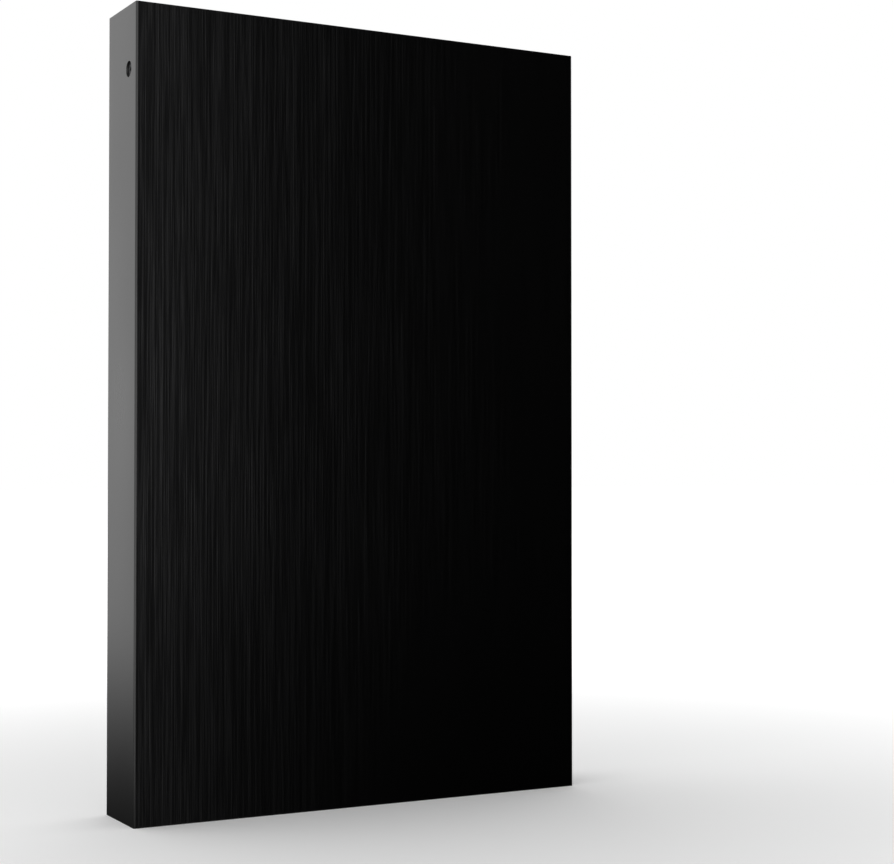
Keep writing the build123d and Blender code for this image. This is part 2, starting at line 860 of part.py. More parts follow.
# Stamped cover with a shallow pressed field and sunk screw holes
with BuildPart() as drive_cover:
    cover_width = drive_width - 2 * cover_inset
    cover_length = drive_length - 2 * cover_inset
    block(
        drive_level(cover_level, 0, drive_middle_v),
        cover_width,
        cover_length,
        cover_thickness,
        base_corner_radius,
    )
    block(
        drive_level(drive_height - cover_press_depth, 0, drive_middle_v),
        cover_width - 2 * cover_press_inset,
        cover_length - 2 * cover_press_inset,
        cover_press_depth,
        cover_press_radius,
        Mode.SUBTRACT,
    )
    for u, v in cover_screw_places + [(pivot_u, pivot_v)]:
        disc(
            drive_level(cover_screw_seat, u, v),
            cover_screw_head_radius + cover_screw_head_clearance,
            cover_screw_head_height,
            Mode.SUBTRACT,
        )
        disc(
            drive_level(cover_level, u, v),
            cover_screw_shank_radius + cover_screw_head_clearance,
            cover_thickness,
            Mode.SUBTRACT,
        )
finish(drive_cover, "drive_cover")

# Cover screws round the rim, and one in the top of the pivot shaft
with BuildPart() as cover_screws:
    for u, v in cover_screw_places + [(pivot_u, pivot_v)]:
        flat_head_screw(
            drive_level(cover_screw_seat, u, v),
            cover_screw_head_radius,
            cover_screw_head_height,
            cover_screw_shank_radius,
            cover_screw_length,
        )
finish(cover_screws, "cover_screws")

# Drive board, cut round the motor, with a tongue that carries the plug
with BuildPart() as drive_board:
    with BuildSketch(drive_level(board_recess)):
        board_end = recess_start - drive_board_edge_clearance
        with Locations((0, (drive_board_far_edge + board_end) / 2)):
            board_half_width = pocket_half_width - drive_board_edge_clearance
            Rectangle(2 * board_half_width, board_end - drive_board_far_edge)
        with Locations((connector_offset, (drive_board_far_edge + blade_root) / 2)):
            Rectangle(plug_width - 2 * plug_ear_width, blade_root - drive_board_far_edge)
        Circle(motor_boss_radius + drive_board_edge_clearance, mode=Mode.SUBTRACT)
        with Locations(board_post_places):
            Circle(drive_board_screw_shank_radius + drive_board_screw_clearance, mode=Mode.SUBTRACT)
    extrude(amount=drive_board_thickness)
finish(drive_board, "drive_board")

# Drive board screws, heads on the outer face
with BuildPart() as drive_board_screws:
    for u, v in board_post_places:
        head_seat = Plane(
            origin=(u, drive_back_y - board_recess, spindle_z + v), x_dir=(1, 0, 0), z_dir=(0, 1, 0)
        )
        flat_head_screw(
            head_seat,
            drive_board_screw_head_radius,
            drive_board_screw_head_height,
            drive_board_screw_shank_radius,
            drive_board_screw_length,
        )
finish(drive_board_screws, "drive_board_screws")

# Drive chips, on the face towards the casting
with BuildPart() as controller_chip:
    block(drive_level(board_top_level, 0, controller_v), controller_size, controller_size, chip_height)
finish(controller_chip, "controller_chip")

with BuildPart() as motor_driver_chip:
    block(drive_level(board_top_level, side_chip_u, side_chip_v), driver_size, driver_size, chip_height)
finish(motor_driver_chip, "motor_driver_chip")

with BuildPart() as memory_chip:
    block(
        drive_level(board_top_level, -side_chip_u, side_chip_v),
        memory_width,
        memory_length,
        chip_height,
    )
finish(memory_chip, "memory_chip")

# Drive plug: two keyed blades between a pair of guide ears
with BuildPart() as drive_plug:
    block(
        drive_level(board_top_level, connector_offset, (plug_back + blade_root) / 2),
        plug_width,
        plug_body_depth,
        blade_height + plug_body_height - board_top_level,
    )
    with BuildSketch(across(spindle_z + blade_root)):
        blade_outlines()
        for side in (-1, 1):
            ear_x = connector_offset + side * (plug_width - plug_ear_width) / 2
            with Locations((ear_x, blade_y)):
                Rectangle(plug_ear_width, 2 * plug_body_height)
    extrude(amount=blade_tip - blade_root)
finish(drive_plug, "drive_plug")

with BuildPart() as drive_plug_contacts:
    with BuildSketch(across(spindle_z + blade_root)):
        for x in contact_places:
            with Locations((x, blade_y - (blade_thickness + contact_thickness) / 2)):
                Rectangle(contact_width, contact_thickness)
    extrude(amount=blade_tip - blade_root - contact_tip_margin)
finish(drive_plug_contacts, "drive_plug_contacts")

# Board-side socket that takes the drive's blades
with BuildPart() as drive_socket:
    block(
        across(spindle_z + socket_start, connector_offset, blade_y),
        socket_width,
        socket_height,
        socket_length,
    )
    with BuildSketch(across(spindle_z + socket_start)):
        blade_outlines()
        offset(amount=socket_clearance)
        contact_room = contact_thickness + socket_contact_clearance + socket_contact_thickness
        for centre, width in ((signal_centre, signal_width), (power_centre, power_width)):
            with Locations((centre, blade_y - (blade_thickness + contact_room) / 2)):
                Rectangle(width, contact_room)
    extrude(amount=slot_depth, mode=Mode.SUBTRACT)
finish(drive_socket, "drive_socket")

with BuildPart() as drive_socket_contacts:
    contact_y = blade_y - blade_thickness / 2 - contact_room + socket_contact_thickness / 2
    with BuildSketch(across(spindle_z + socket_start + contact_tip_margin)):
        for x in contact_places:
            with Locations((x, contact_y)):
                Rectangle(contact_width, socket_contact_thickness)
    extrude(amount=slot_depth - contact_tip_margin)
finish(drive_socket_contacts, "drive_socket_contacts")

# Spindle motor: fixed bearing sleeve, stator core and its coils
with BuildPart() as bearing_sleeve:
    tube(
        drive_level(bearing_floor),
        shaft_radius + running_clearance,
        bearing_radius - glue_clearance,
        web_level - rotor_clearance - bearing_floor,
    )
finish(bearing_sleeve, "bearing_sleeve")

with BuildPart() as stator_core:
    with BuildSketch(drive_level(stator_level)):
        Circle(stator_ring_radius)
        pole_reach = stator_radius - pole_shoe_depth / 2
        with PolarLocations(pole_reach / 2, stator_poles):
            Rectangle(pole_reach, pole_width)
        shoe_half_angle = 180 / stator_poles - degrees(asin(pole_shoe_gap / 2 / stator_radius))
        for pole in range(stator_poles):
            pole_angle = 360 * pole / stator_poles
            ring_slice(
                stator_radius - pole_shoe_depth,
                stator_radius,
                pole_angle - shoe_half_angle,
                pole_angle + shoe_half_angle,
            )
        Circle(stator_bore + glue_clearance, mode=Mode.SUBTRACT)
    extrude(amount=stator_thickness)
finish(stator_core, "stator_core")

with BuildPart() as stator_coils:
    coil_start = stator_ring_radius + coil_wrap
    coil_length = stator_radius - pole_shoe_depth - coil_wrap - coil_start
    with BuildSketch(drive_level(stator_level - coil_wrap)):
        with PolarLocations(coil_start + coil_length / 2, stator_poles):
            RectangleRounded(coil_length, pole_width + 2 * coil_wrap, coil_wrap)
    extrude(amount=stator_thickness + 2 * coil_wrap)
    with BuildSketch(drive_level(stator_level - glue_clearance)):
        with PolarLocations(coil_start + coil_length / 2, stator_poles):
            Rectangle(2 * coil_length, pole_width + 2 * glue_clearance)
    extrude(amount=stator_thickness + 2 * glue_clearance, mode=Mode.SUBTRACT)
finish(stator_coils, "stator_coils")

# Rotor: hub with its shaft, ring magnet, platter, clamp and clamp screw
with BuildPart() as spindle_hub:
    register_height = platter_thickness - clamp_preload_gap
    disc(drive_level(web_level), clamp_radius, hub_web_thickness)
    disc(drive_level(flange_level), platter_bore / 2 - glue_clearance, register_height)
    tube(drive_level(rotor_bottom), rotor_cup_radius, clamp_radius, web_level - rotor_bottom)
    shaft_end = bearing_floor + rotor_clearance
    disc(drive_level(shaft_end), shaft_radius, web_level - shaft_end)
    clamp_seat = clamp_level + clamp_thickness
    hole_bottom = clamp_seat - clamp_screw_length - thread_clearance
    disc(
        drive_level(hole_bottom),
        clamp_screw_shank_radius + thread_clearance,
        flange_level + register_height - hole_bottom,
        Mode.SUBTRACT,
    )
finish(spindle_hub, "spindle_hub")

with BuildPart() as rotor_magnet:
    magnet_bottom = rotor_bottom + rotor_magnet_setback
    tube(
        drive_level(magnet_bottom),
        rotor_cup_radius - rotor_magnet_thickness,
        rotor_cup_radius - glue_clearance,
        web_level - magnet_bottom,
    )
finish(rotor_magnet, "rotor_magnet")

with BuildPart() as platter:
    tube(drive_level(flange_level), platter_bore / 2, platter_radius, platter_thickness)
finish(platter, "platter")

with BuildPart() as disk_clamp:
    with BuildSketch(drive_level(clamp_level)):
        Circle(clamp_radius)
        Circle(clamp_screw_shank_radius + clamp_hole_clearance, mode=Mode.SUBTRACT)
        with PolarLocations(clamp_hole_circle, clamp_holes):
            Circle(clamp_hole_radius, mode=Mode.SUBTRACT)
    extrude(amount=clamp_thickness)
finish(disk_clamp, "disk_clamp")

with BuildPart() as clamp_screw:
    flat_head_screw(
        drive_level(clamp_seat),
        clamp_screw_head_radius,
        clamp_screw_head_height,
        clamp_screw_shank_radius,
        clamp_screw_length,
    )
finish(clamp_screw, "clamp_screw")

# Actuator block: a hub round the pivot with an arm above and an arm below the platter
with BuildPart() as actuator_block:
    tube(pivot_level(arm_bottom, arm_direction), bearing_seat_radius, block_radius, arm_top - arm_bottom)
    for level in (arm_bottom, arm_top - arm_thickness):
        with BuildSketch(pivot_level(level, arm_direction)):
            Circle(block_radius - arm_tip_radius / 2)
            with Locations((arm_length, 0)):
                Circle(arm_tip_radius)
            make_hull()
            Circle(bearing_seat_radius, mode=Mode.SUBTRACT)
            with Locations(((block_radius + arm_length) / 2, 0)):
                SlotCenterToCenter(arm_slot_length, 2 * arm_slot_radius, mode=Mode.SUBTRACT)
        extrude(amount=arm_thickness)
finish(actuator_block, "actuator_block")

# Suspensions: thin tapered beams with a lift tab, one on each arm
with BuildPart() as suspensions:
    for level in (arm_bottom + arm_thickness, arm_top - arm_thickness - beam_thickness):
        with BuildSketch(pivot_level(level, arm_direction)):
            beam_root = arm_length - beam_root_overlap
            beam_end = head_reach + slider_length / 2
            with BuildLine():
                Polyline(
                    (beam_root, -arm_tip_radius),
                    (beam_end, -beam_tip_width / 2),
                    (beam_end, beam_tip_width / 2),
                    (beam_root, arm_tip_radius),
                    close=True,
                )
            make_face()
            with Locations(((head_reach + tab_end) / 2, 0)):
                Rectangle(tab_end - head_reach, lift_tab_width)
        extrude(amount=beam_thickness)
finish(suspensions, "suspensions")

# Sliders with their gimbals, one on each side of the platter
with BuildPart() as sliders:
    upper_slider = clamp_level + fly_clearance
    lower_slider = flange_level - fly_clearance - slider_height
    upper_gimbal = upper_slider + slider_height
    lower_gimbal = lower_slider - gimbal_height
    for slider_base, gimbal_base in ((upper_slider, upper_gimbal), (lower_slider, lower_gimbal)):
        with BuildSketch(pivot_level(slider_base, arm_direction)):
            with Locations((head_reach, 0)):
                Rectangle(slider_length, slider_width)
        extrude(amount=slider_height)
        with BuildSketch(pivot_level(gimbal_base, arm_direction)):
            with Locations((head_reach, 0)):
                Rectangle(gimbal_size, gimbal_size)
        extrude(amount=gimbal_height)
finish(sliders, "sliders")

# Pivot: moving bearing cartridge on a fixed shaft
with BuildPart() as pivot_bearing:
    tube(
        pivot_level(arm_bottom + pivot_end_play, arm_direction),
        pivot_shaft_radius + running_clearance,
        pivot_bearing_radius,
        arm_top - arm_bottom - 2 * pivot_end_play,
    )
finish(pivot_bearing, "pivot_bearing")

with BuildPart() as pivot_shaft:
    disc(pivot_level(floor_level, 0), pivot_foot_radius, arm_clearance)
    disc(pivot_level(floor_level, 0), pivot_shaft_radius, cover_level - floor_level)
    pivot_hole_depth = cover_screw_seat - cover_screw_length - cover_level - thread_clearance
    disc(
        pivot_level(cover_level, 0),
        cover_screw_shank_radius + thread_clearance,
        pivot_hole_depth,
        Mode.SUBTRACT,
    )
finish(pivot_shaft, "pivot_shaft")

# Voice coil in its moulded holder
with BuildPart() as voice_coil:
    with BuildSketch(pivot_level(coil_level, coil_direction)):
        coil_outline()
        offset(amount=-coil_band, mode=Mode.SUBTRACT)
    extrude(amount=coil_thickness)
finish(voice_coil, "voice_coil")

with BuildPart() as coil_holder:
    with BuildSketch(pivot_level(coil_level, coil_direction)):
        ring_slice(block_radius + glue_clearance, holder_radius, -holder_half_angle, holder_half_angle)
    extrude(amount=coil_thickness)
    with BuildSketch(pivot_level(coil_level, coil_direction)):
        coil_outline()
    extrude(amount=coil_thickness, mode=Mode.SUBTRACT)
finish(coil_holder, "coil_holder")

# Magnet plates: lower yoke with two posts, magnet, upper yoke and the rubber stops on the posts
with BuildPart() as lower_yoke:
    with BuildSketch(pivot_level(floor_level, yoke_direction)):
        ring_slice(yoke_inner_radius, yoke_radius, -yoke_half_angle, yoke_half_angle)
    extrude(amount=yoke_thickness)
    with BuildSketch(pivot_level(magnet_level, yoke_direction)):
        for angle in (-stop_angle, stop_angle):
            with PolarLocations(stop_radius, 1, start_angle=angle):
                Circle(stop_post_radius)
    extrude(amount=upper_yoke_level - magnet_level)
finish(lower_yoke, "lower_yoke")

with BuildPart() as voice_coil_magnet:
    with BuildSketch(pivot_level(magnet_level, yoke_direction)):
        ring_slice(
            yoke_inner_radius + magnet_margin,
            yoke_radius - magnet_margin,
            -magnet_half_angle,
            magnet_half_angle,
        )
    extrude(amount=coil_level - coil_clearance - magnet_level)
finish(voice_coil_magnet, "voice_coil_magnet")

with BuildPart() as upper_yoke:
    with BuildSketch(pivot_level(upper_yoke_level, yoke_direction)):
        ring_slice(yoke_inner_radius, yoke_radius, -yoke_half_angle, yoke_half_angle)
    extrude(amount=yoke_thickness)
finish(upper_yoke, "upper_yoke")

with BuildPart() as crash_stops:
    with BuildSketch(pivot_level(magnet_level, yoke_direction)):
        for angle in (-stop_angle, stop_angle):
            with PolarLocations(stop_radius, 1, start_angle=angle):
                Circle(stop_sleeve_radius)
                Circle(stop_post_radius + glue_clearance, mode=Mode.SUBTRACT)
    extrude(amount=upper_yoke_level - magnet_level)
finish(crash_stops, "crash_stops")

# Head ramp: a slotted plate over the platter's edge for the lift tabs, on a screwed foot
with BuildPart() as head_ramp:
    with BuildSketch(pivot_level(ramp_bottom_level, arm_direction)):
        ramp_outer_reach = ramp_foot_reach + ramp_side_clearance
        ring_slice(ramp_inner_reach, ramp_outer_reach, -ramp_tail_angle, ramp_over_angle)
    extrude(amount=ramp_top_level - ramp_bottom_level)
    with BuildSketch(pivot_level(floor_level, arm_direction)):
        ring_slice(
            ramp_foot_reach,
            ramp_foot_reach + ramp_foot_length,
            ramp_foot_angle - ramp_foot_half_angle,
            ramp_foot_angle + ramp_foot_half_angle,
        )
    extrude(amount=ramp_top_level - floor_level)
    disc(
        drive_level(flange_level - ramp_platter_clearance),
        platter_radius + ramp_platter_clearance,
        platter_thickness + 2 * ramp_platter_clearance,
        Mode.SUBTRACT,
    )
    with BuildSketch(pivot_level(floor_level, arm_direction)):
        with PolarLocations(ramp_screw_reach, 1, start_angle=ramp_foot_angle):
            Circle(ramp_screw_shank_radius + ramp_screw_clearance)
    extrude(amount=ramp_top_level - floor_level, mode=Mode.SUBTRACT)
finish(head_ramp, "head_ramp")

with BuildPart() as ramp_screw:
    ramp_screw_turn = radians(arm_direction + ramp_foot_angle)
    flat_head_screw(
        drive_level(
            ramp_top_level,
            pivot_u + ramp_screw_reach * cos(ramp_screw_turn),
            pivot_v + ramp_screw_reach * sin(ramp_screw_turn),
        ),
        ramp_screw_head_radius,
        ramp_screw_head_height,
        ramp_screw_shank_radius,
        ramp_screw_length,
    )
finish(ramp_screw, "ramp_screw")

# Flex circuit: a bracket in the corner beside the pivot, and the ribbon that runs to the actuator
with BuildPart() as flex_bracket:
    block(
        polar_level(floor_level, bracket_radius, bracket_angle),
        bracket_depth,
        bracket_width,
        bracket_height,
    )
finish(flex_bracket, "flex_bracket")

with BuildPart() as flex_ribbon:
    bracket_turn = radians(bracket_angle)
    ribbon_side = bracket_width / 2 + ribbon_thickness
    ribbon_end_u = bracket_radius * cos(bracket_turn) - ribbon_side * sin(bracket_turn)
    ribbon_end_v = bracket_radius * sin(bracket_turn) + ribbon_side * cos(bracket_turn)
    ribbon_run = hypot(ribbon_end_u - pivot_u, ribbon_end_v - pivot_v)
    ribbon_share = (block_radius + ribbon_clearance) / ribbon_run
    ribbon_start_u = pivot_u + (ribbon_end_u - pivot_u) * ribbon_share
    ribbon_start_v = pivot_v + (ribbon_end_v - pivot_v) * ribbon_share
    with BuildSketch(drive_level(disk_level - ribbon_width / 2)):
        with BuildLine():
            SagittaArc((ribbon_start_u, ribbon_start_v), (ribbon_end_u, ribbon_end_v), ribbon_bow)
        trace(line_width=ribbon_thickness)
    extrude(amount=ribbon_width)
finish(flex_ribbon, "flex_ribbon")

# Filters: one in a slot beside the platter, one on the floor of the bay
with BuildPart() as recirculation_filter:
    block(
        polar_level(floor_level, filter_slot_end - recirculation_filter_thickness / 2, -filter_angle),
        recirculation_filter_thickness,
        recirculation_filter_width,
        recirculation_filter_height,
    )
finish(recirculation_filter, "recirculation_filter")

with BuildPart() as breather_filter:
    block(
        drive_level(
            floor_level,
            breather_filter_inset + breather_filter_width / 2 - bay_half_width,
            bay_end - breather_filter_inset - breather_filter_length / 2,
        ),
        breather_filter_width,
        breather_filter_length,
        breather_filter_height,
        breather_filter_radius,
    )
finish(breather_filter, "breather_filter")

# Bridge board behind the port panel
with BuildPart() as bridge_board:
    block(
        facing(board_back_y, 0, (bridge_bottom_z + bridge_top_z) / 2),
        bridge_board_width,
        bridge_top_z - bridge_bottom_z,
        bridge_board_thickness,
        bridge_corner_radius,
    )
    for side in (-1, 1):
        disc(
            facing(board_back_y, side * board_screw_x, board_screw_z),
            board_screw_shank_radius + board_screw_hole_clearance,
            bridge_board_thickness,
            Mode.SUBTRACT,
        )
finish(bridge_board, "bridge_board")

with BuildPart() as board_screws:
    for side in (-1, 1):
        flat_head_screw(
            facing(board_front_y, side * board_screw_x, board_screw_z),
            board_screw_head_radius,
            board_screw_head_height,
            board_screw_shank_radius,
            board_screw_length,
        )
finish(board_screws, "board_screws")

# What the bridge board carries
with BuildPart() as bridge_chip:
    block(
        facing(board_front_y, bridge_chip_x, component_z),
        bridge_chip_size,
        bridge_chip_size,
        bridge_chip_height,
    )
finish(bridge_chip, "bridge_chip")

with BuildPart() as crystal:
    block(
        facing(board_front_y, crystal_x, component_z),
        crystal_width,
        crystal_length,
        crystal_height,
        crystal_corner_radius,
    )
finish(crystal, "crystal")

with BuildPart() as inductor:
    block(
        facing(board_front_y, inductor_x, component_z),
        inductor_size,
        inductor_size,
        inductor_height,
        inductor_corner_radius,
    )
finish(inductor, "inductor")

with BuildPart() as capacitors:
    with BuildSketch(facing(board_front_y, capacitor_x, component_z)):
        with GridLocations(capacitor_spacing, capacitor_spacing, 1, capacitor_count):
            Rectangle(capacitor_length, capacitor_width)
    extrude(amount=capacitor_height)
finish(capacitors, "capacitors")

# Port: folded steel jacket, insulator with its two tongues, and the contacts on them
with BuildPart() as port_jacket:
    with BuildSketch(across(jacket_back_z, port_x, port_y)):
        port_outline()
        offset(amount=jacket_thickness)
    extrude(amount=jacket_depth)
    with BuildSketch(across(jacket_back_z + jacket_thickness, port_x, port_y)):
        port_outline()
    extrude(amount=jacket_depth - jacket_thickness, mode=Mode.SUBTRACT)
    foot_y = board_front_y - jacket_thickness / 2
    with BuildSketch(across(jacket_back_z + jacket_foot_from_back, port_x, foot_y)):
        Rectangle(port_width + 2 * jacket_foot_width, jacket_thickness)
        Rectangle(port_width - 2 * jacket_foot_width, jacket_thickness, mode=Mode.SUBTRACT)
    extrude(amount=jacket_foot_length)
finish(port_jacket, "port_jacket")

with BuildPart() as port_insulator:
    with BuildSketch(across(jacket_back_z + jacket_thickness, port_x, port_y)):
        port_outline()
        offset(amount=-insulator_clearance)
    extrude(amount=insulator_back)
    with BuildSketch(across(tongue_root_z, port_x, port_y)):
        for centre, width in port_tongues:
            with Locations((centre, 0)):
                Rectangle(width, tongue_thickness)
    extrude(amount=mouth_z - tongue_set_back - tongue_root_z)
finish(port_insulator, "port_insulator")

with BuildPart() as port_contacts:
    with BuildSketch(across(tongue_root_z, port_x, port_y)):
        for centre, width in port_tongues:
            pitch = (width - 2 * port_contact_width) / (port_contact_count - 1)
            with Locations((centre, (tongue_thickness + port_contact_thickness) / 2)):
                with GridLocations(pitch, 0, port_contact_count, 1):
                    Rectangle(port_contact_width, port_contact_thickness)
    extrude(amount=mouth_z - tongue_set_back - port_contact_tip_margin - tongue_root_z)
finish(port_contacts, "port_contacts")

# Status lamp on the board's edge and the light pipe through the panel
with BuildPart() as status_lamp:
    block(across(bridge_top_z - lamp_depth, lamp_x, lamp_y), lamp_width, lamp_height, lamp_depth)
finish(status_lamp, "status_lamp")

with BuildPart() as light_pipe:
    pipe_start_z = bridge_top_z + pipe_lamp_gap
    disc(across(pipe_start_z, lamp_x, lamp_y), pipe_radius, panel_top_z - pipe_start_z)
    flange_start = across(panel_z - pipe_flange_thickness, lamp_x, lamp_y)
    disc(flange_start, pipe_flange_radius, pipe_flange_thickness)
finish(light_pipe, "light_pipe")

print(f"sleeve {sleeve_width:.3f} x {sleeve_thickness:.3f} x {sleeve_length:.3f}")
print(f"drive {drive_width:.3f} x {drive_length:.3f} x {drive_height:.3f}")
print(f"spindle axis at x 0, z {spindle_z:.3f}, along Y at {drive_back_y - disk_level:.3f}")
print(f"pivot axis at x {pivot_u:.3f}, z {spindle_z + pivot_v:.3f}, swing {swing:.3f} degrees")
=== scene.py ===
# %% [markdown]
# # A slim portable hard drive
# The object is a flat box of black aluminium that stands on one short end. Its solids were made
# in CAD and arrive here as a fixed frame, in metres, with +Z up. This notebook gives them their
# looks: it models the pieces that are seen from outside again, with soft edges, and gives every
# other piece a finish of its own. A reader can run it cell by cell.

# %% Load the frame
import math

import bpy
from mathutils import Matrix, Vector


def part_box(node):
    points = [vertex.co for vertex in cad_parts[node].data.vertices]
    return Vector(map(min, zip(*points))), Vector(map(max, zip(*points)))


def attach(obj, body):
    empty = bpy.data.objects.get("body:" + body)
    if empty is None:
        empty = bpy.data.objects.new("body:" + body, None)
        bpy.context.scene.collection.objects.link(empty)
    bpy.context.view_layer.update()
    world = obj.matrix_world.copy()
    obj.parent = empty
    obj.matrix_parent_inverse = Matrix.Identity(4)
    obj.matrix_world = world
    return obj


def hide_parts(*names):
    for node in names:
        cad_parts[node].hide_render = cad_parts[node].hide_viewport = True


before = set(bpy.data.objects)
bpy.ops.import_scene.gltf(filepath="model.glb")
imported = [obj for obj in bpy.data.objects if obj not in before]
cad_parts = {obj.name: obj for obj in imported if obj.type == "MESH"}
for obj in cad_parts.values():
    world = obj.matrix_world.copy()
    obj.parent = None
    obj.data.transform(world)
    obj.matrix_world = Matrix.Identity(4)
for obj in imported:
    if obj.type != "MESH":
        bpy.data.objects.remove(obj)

mm = 0.001
scene = bpy.context.scene
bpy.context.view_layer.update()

# %% [markdown]
# ## The camera
# The photograph was taken from about mid height, a little to the left, with a long lens. The
# corners of the box that show in it fix the camera's place, turn and focal length, so these
# values were worked out once and are written here as real sizes.

# %% Place the camera
camera_place = (-124.95 * mm, -259.88 * mm, 51.95 * mm)
camera_turn = math.radians(-28.714)
camera_tilt = math.radians(1.139)
focal_length = 73.62

bpy.ops.object.camera_add(
    location=camera_place, rotation=(math.radians(90) + camera_tilt, 0, camera_turn)
)
camera = bpy.context.object
camera.name = "photo_camera"
camera.data.lens = focal_length
camera.data.sensor_width = 36.0
camera.data.clip_start = 10 * mm
scene.camera = camera
scene.view_settings.view_transform = "Standard"
print("camera looks from", tuple(round(value / mm) for value in camera_place), "mm")

# %% [markdown]
# ## The studio
# A black box on white is drawn by what it mirrors. The room is white to the camera and in
# mirrors, and gives a plain even light. The paper floor takes the shadow. Its glow is low at the
# foot and rises further off. The low glow paints shade round the foot, and the rise lets the
# floor's far edge melt into the room.

# %% Paint the room white
room_light = 0.62


def shown_rays(tree):
    """A factor that is 1 for rays from the camera and for rays that were mirrored or bent."""
    path = tree.nodes.new("ShaderNodeLightPath")
    factor = path.outputs["Is Camera Ray"]
    for kind in ("Is Glossy Ray", "Is Transmission Ray"):
        either = tree.nodes.new("ShaderNodeMath")
        either.operation = "MAXIMUM"
        tree.links.new(factor, either.inputs[0])
        tree.links.new(path.outputs[kind], either.inputs[1])
        factor = either.outputs["Value"]
    return factor


room = bpy.data.worlds.new("white_room")
room.use_nodes = True
scene.world = room
tree = room.node_tree
ambient = tree.nodes["Background"]
ambient.inputs["Color"].default_value = (1.0, 1.0, 1.0, 1.0)
ambient.inputs["Strength"].default_value = room_light
backdrop = tree.nodes.new("ShaderNodeBackground")
backdrop.inputs["Color"].default_value = (1.0, 1.0, 1.0, 1.0)
room_mix = tree.nodes.new("ShaderNodeMixShader")
tree.links.new(shown_rays(tree), room_mix.inputs["Fac"])
tree.links.new(ambient.outputs["Background"], room_mix.inputs[1])
tree.links.new(backdrop.outputs["Background"], room_mix.inputs[2])
tree.links.new(room_mix.outputs["Shader"], tree.nodes["World Output"].inputs["Surface"])
print("room lights at", room_light, "and shows as white")

# %% Lay the paper floor
floor_size = 8.0
# Painted shade: the floor's glow is low next to the foot, which darkens the floor round it, and high
# far off.
painted_shade_glow = (0.05, 0.03)
far_glow = (0.3, 0.52)


def distance_from_foot(tree):
    """How far a point lies from the object's foot, in metres."""
    coordinates = tree.nodes.new("ShaderNodeTexCoord")
    length = tree.nodes.new("ShaderNodeVectorMath")
    length.operation = "LENGTH"
    tree.links.new(coordinates.outputs["Object"], length.inputs[0])
    return length.outputs["Value"]


def graded(tree, source, first, last):
    """Runs smoothly from one (measure, strength) pair to another."""
    mapped = tree.nodes.new("ShaderNodeMapRange")
    mapped.interpolation_type = "SMOOTHSTEP"
    mapped.inputs["From Min"].default_value, mapped.inputs["To Min"].default_value = first
    mapped.inputs["From Max"].default_value, mapped.inputs["To Max"].default_value = last
    tree.links.new(source, mapped.inputs["Value"])
    return mapped.outputs["Result"]


def product(tree, first, second):
    """Multiplies two values."""
    times = tree.nodes.new("ShaderNodeMath")
    times.operation = "MULTIPLY"
    tree.links.new(first, times.inputs[0])
    tree.links.new(second, times.inputs[1])
    return times.outputs["Value"]


bpy.ops.object.select_all(action="DESELECT")
bpy.ops.mesh.primitive_plane_add(size=floor_size)
floor = bpy.context.object
floor.name = "paper_floor"
paper = bpy.data.materials.new("white_paper")
paper.use_nodes = True
tree = paper.node_tree
tree.nodes.remove(tree.nodes["Principled BSDF"])
matt = tree.nodes.new("ShaderNodeBsdfDiffuse")
matt.inputs["Color"].default_value = (0.86, 0.86, 0.86, 1.0)
glow = tree.nodes.new("ShaderNodeEmission")
# Painted shade round the foot: the glow is weakest near the foot and grows with distance from it.
glow_with_painted_shade = graded(tree, distance_from_foot(tree), painted_shade_glow, far_glow)
tree.links.new(product(tree, shown_rays(tree), glow_with_painted_shade), glow.inputs["Strength"])
both = tree.nodes.new("ShaderNodeAddShader")
tree.links.new(matt.outputs["BSDF"], both.inputs[0])
tree.links.new(glow.outputs["Emission"], both.inputs[1])
tree.links.new(both.outputs["Shader"], tree.nodes["Material Output"].inputs["Surface"])
floor.data.materials.append(paper)
print("floor", floor_size, "m square")

# %% [markdown]
# ## Cards and lamp
# A photographer who shoots black metal puts grey cards where the metal mirrors them. Here one lies
# to the left, dark at the foot and paler further off. One lies in front and one stands to the
# right, each a fan that runs from grey at the left to black at the right. A flat mirror sends the
# camera's rays on as if they came from its image behind the mirror, so both fans spread from that
# image, and the front fades evenly across its width. Only mirrored light can see the cards: they
# throw no shadow and never come into view. One softbox above and behind gives the shadow in front
# of the foot.

# %% Set the cards
card_height = 0.03 * mm
card_length = 2.4
card_shift = 0.4
right_card_place = (0.36, -0.82, 0.6)
right_card_turn = (math.radians(90), 0, math.radians(42))
front_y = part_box("sleeve")[0].y
fan_centre = (camera_place[0], 2 * front_y - camera_place[1])


def turn_round_image(tree):
    """The bearing of a point from the camera's image in the front, as a part of a full turn."""
    coordinates = tree.nodes.new("ShaderNodeTexCoord")
    mapping = tree.nodes.new("ShaderNodeMapping")
    mapping.inputs["Location"].default_value = (-fan_centre[0], -fan_centre[1], 0.0)
    fan = tree.nodes.new("ShaderNodeTexGradient")
    fan.gradient_type = "RADIAL"
    tree.links.new(coordinates.outputs["Object"], mapping.inputs["Vector"])
    tree.links.new(mapping.outputs["Vector"], fan.inputs["Vector"])
    return fan.outputs["Fac"]


def bearing(degrees):
    """A bearing from straight ahead towards the right, as a part of a full turn."""
    return 0.5 + (degrees - 90) / 360


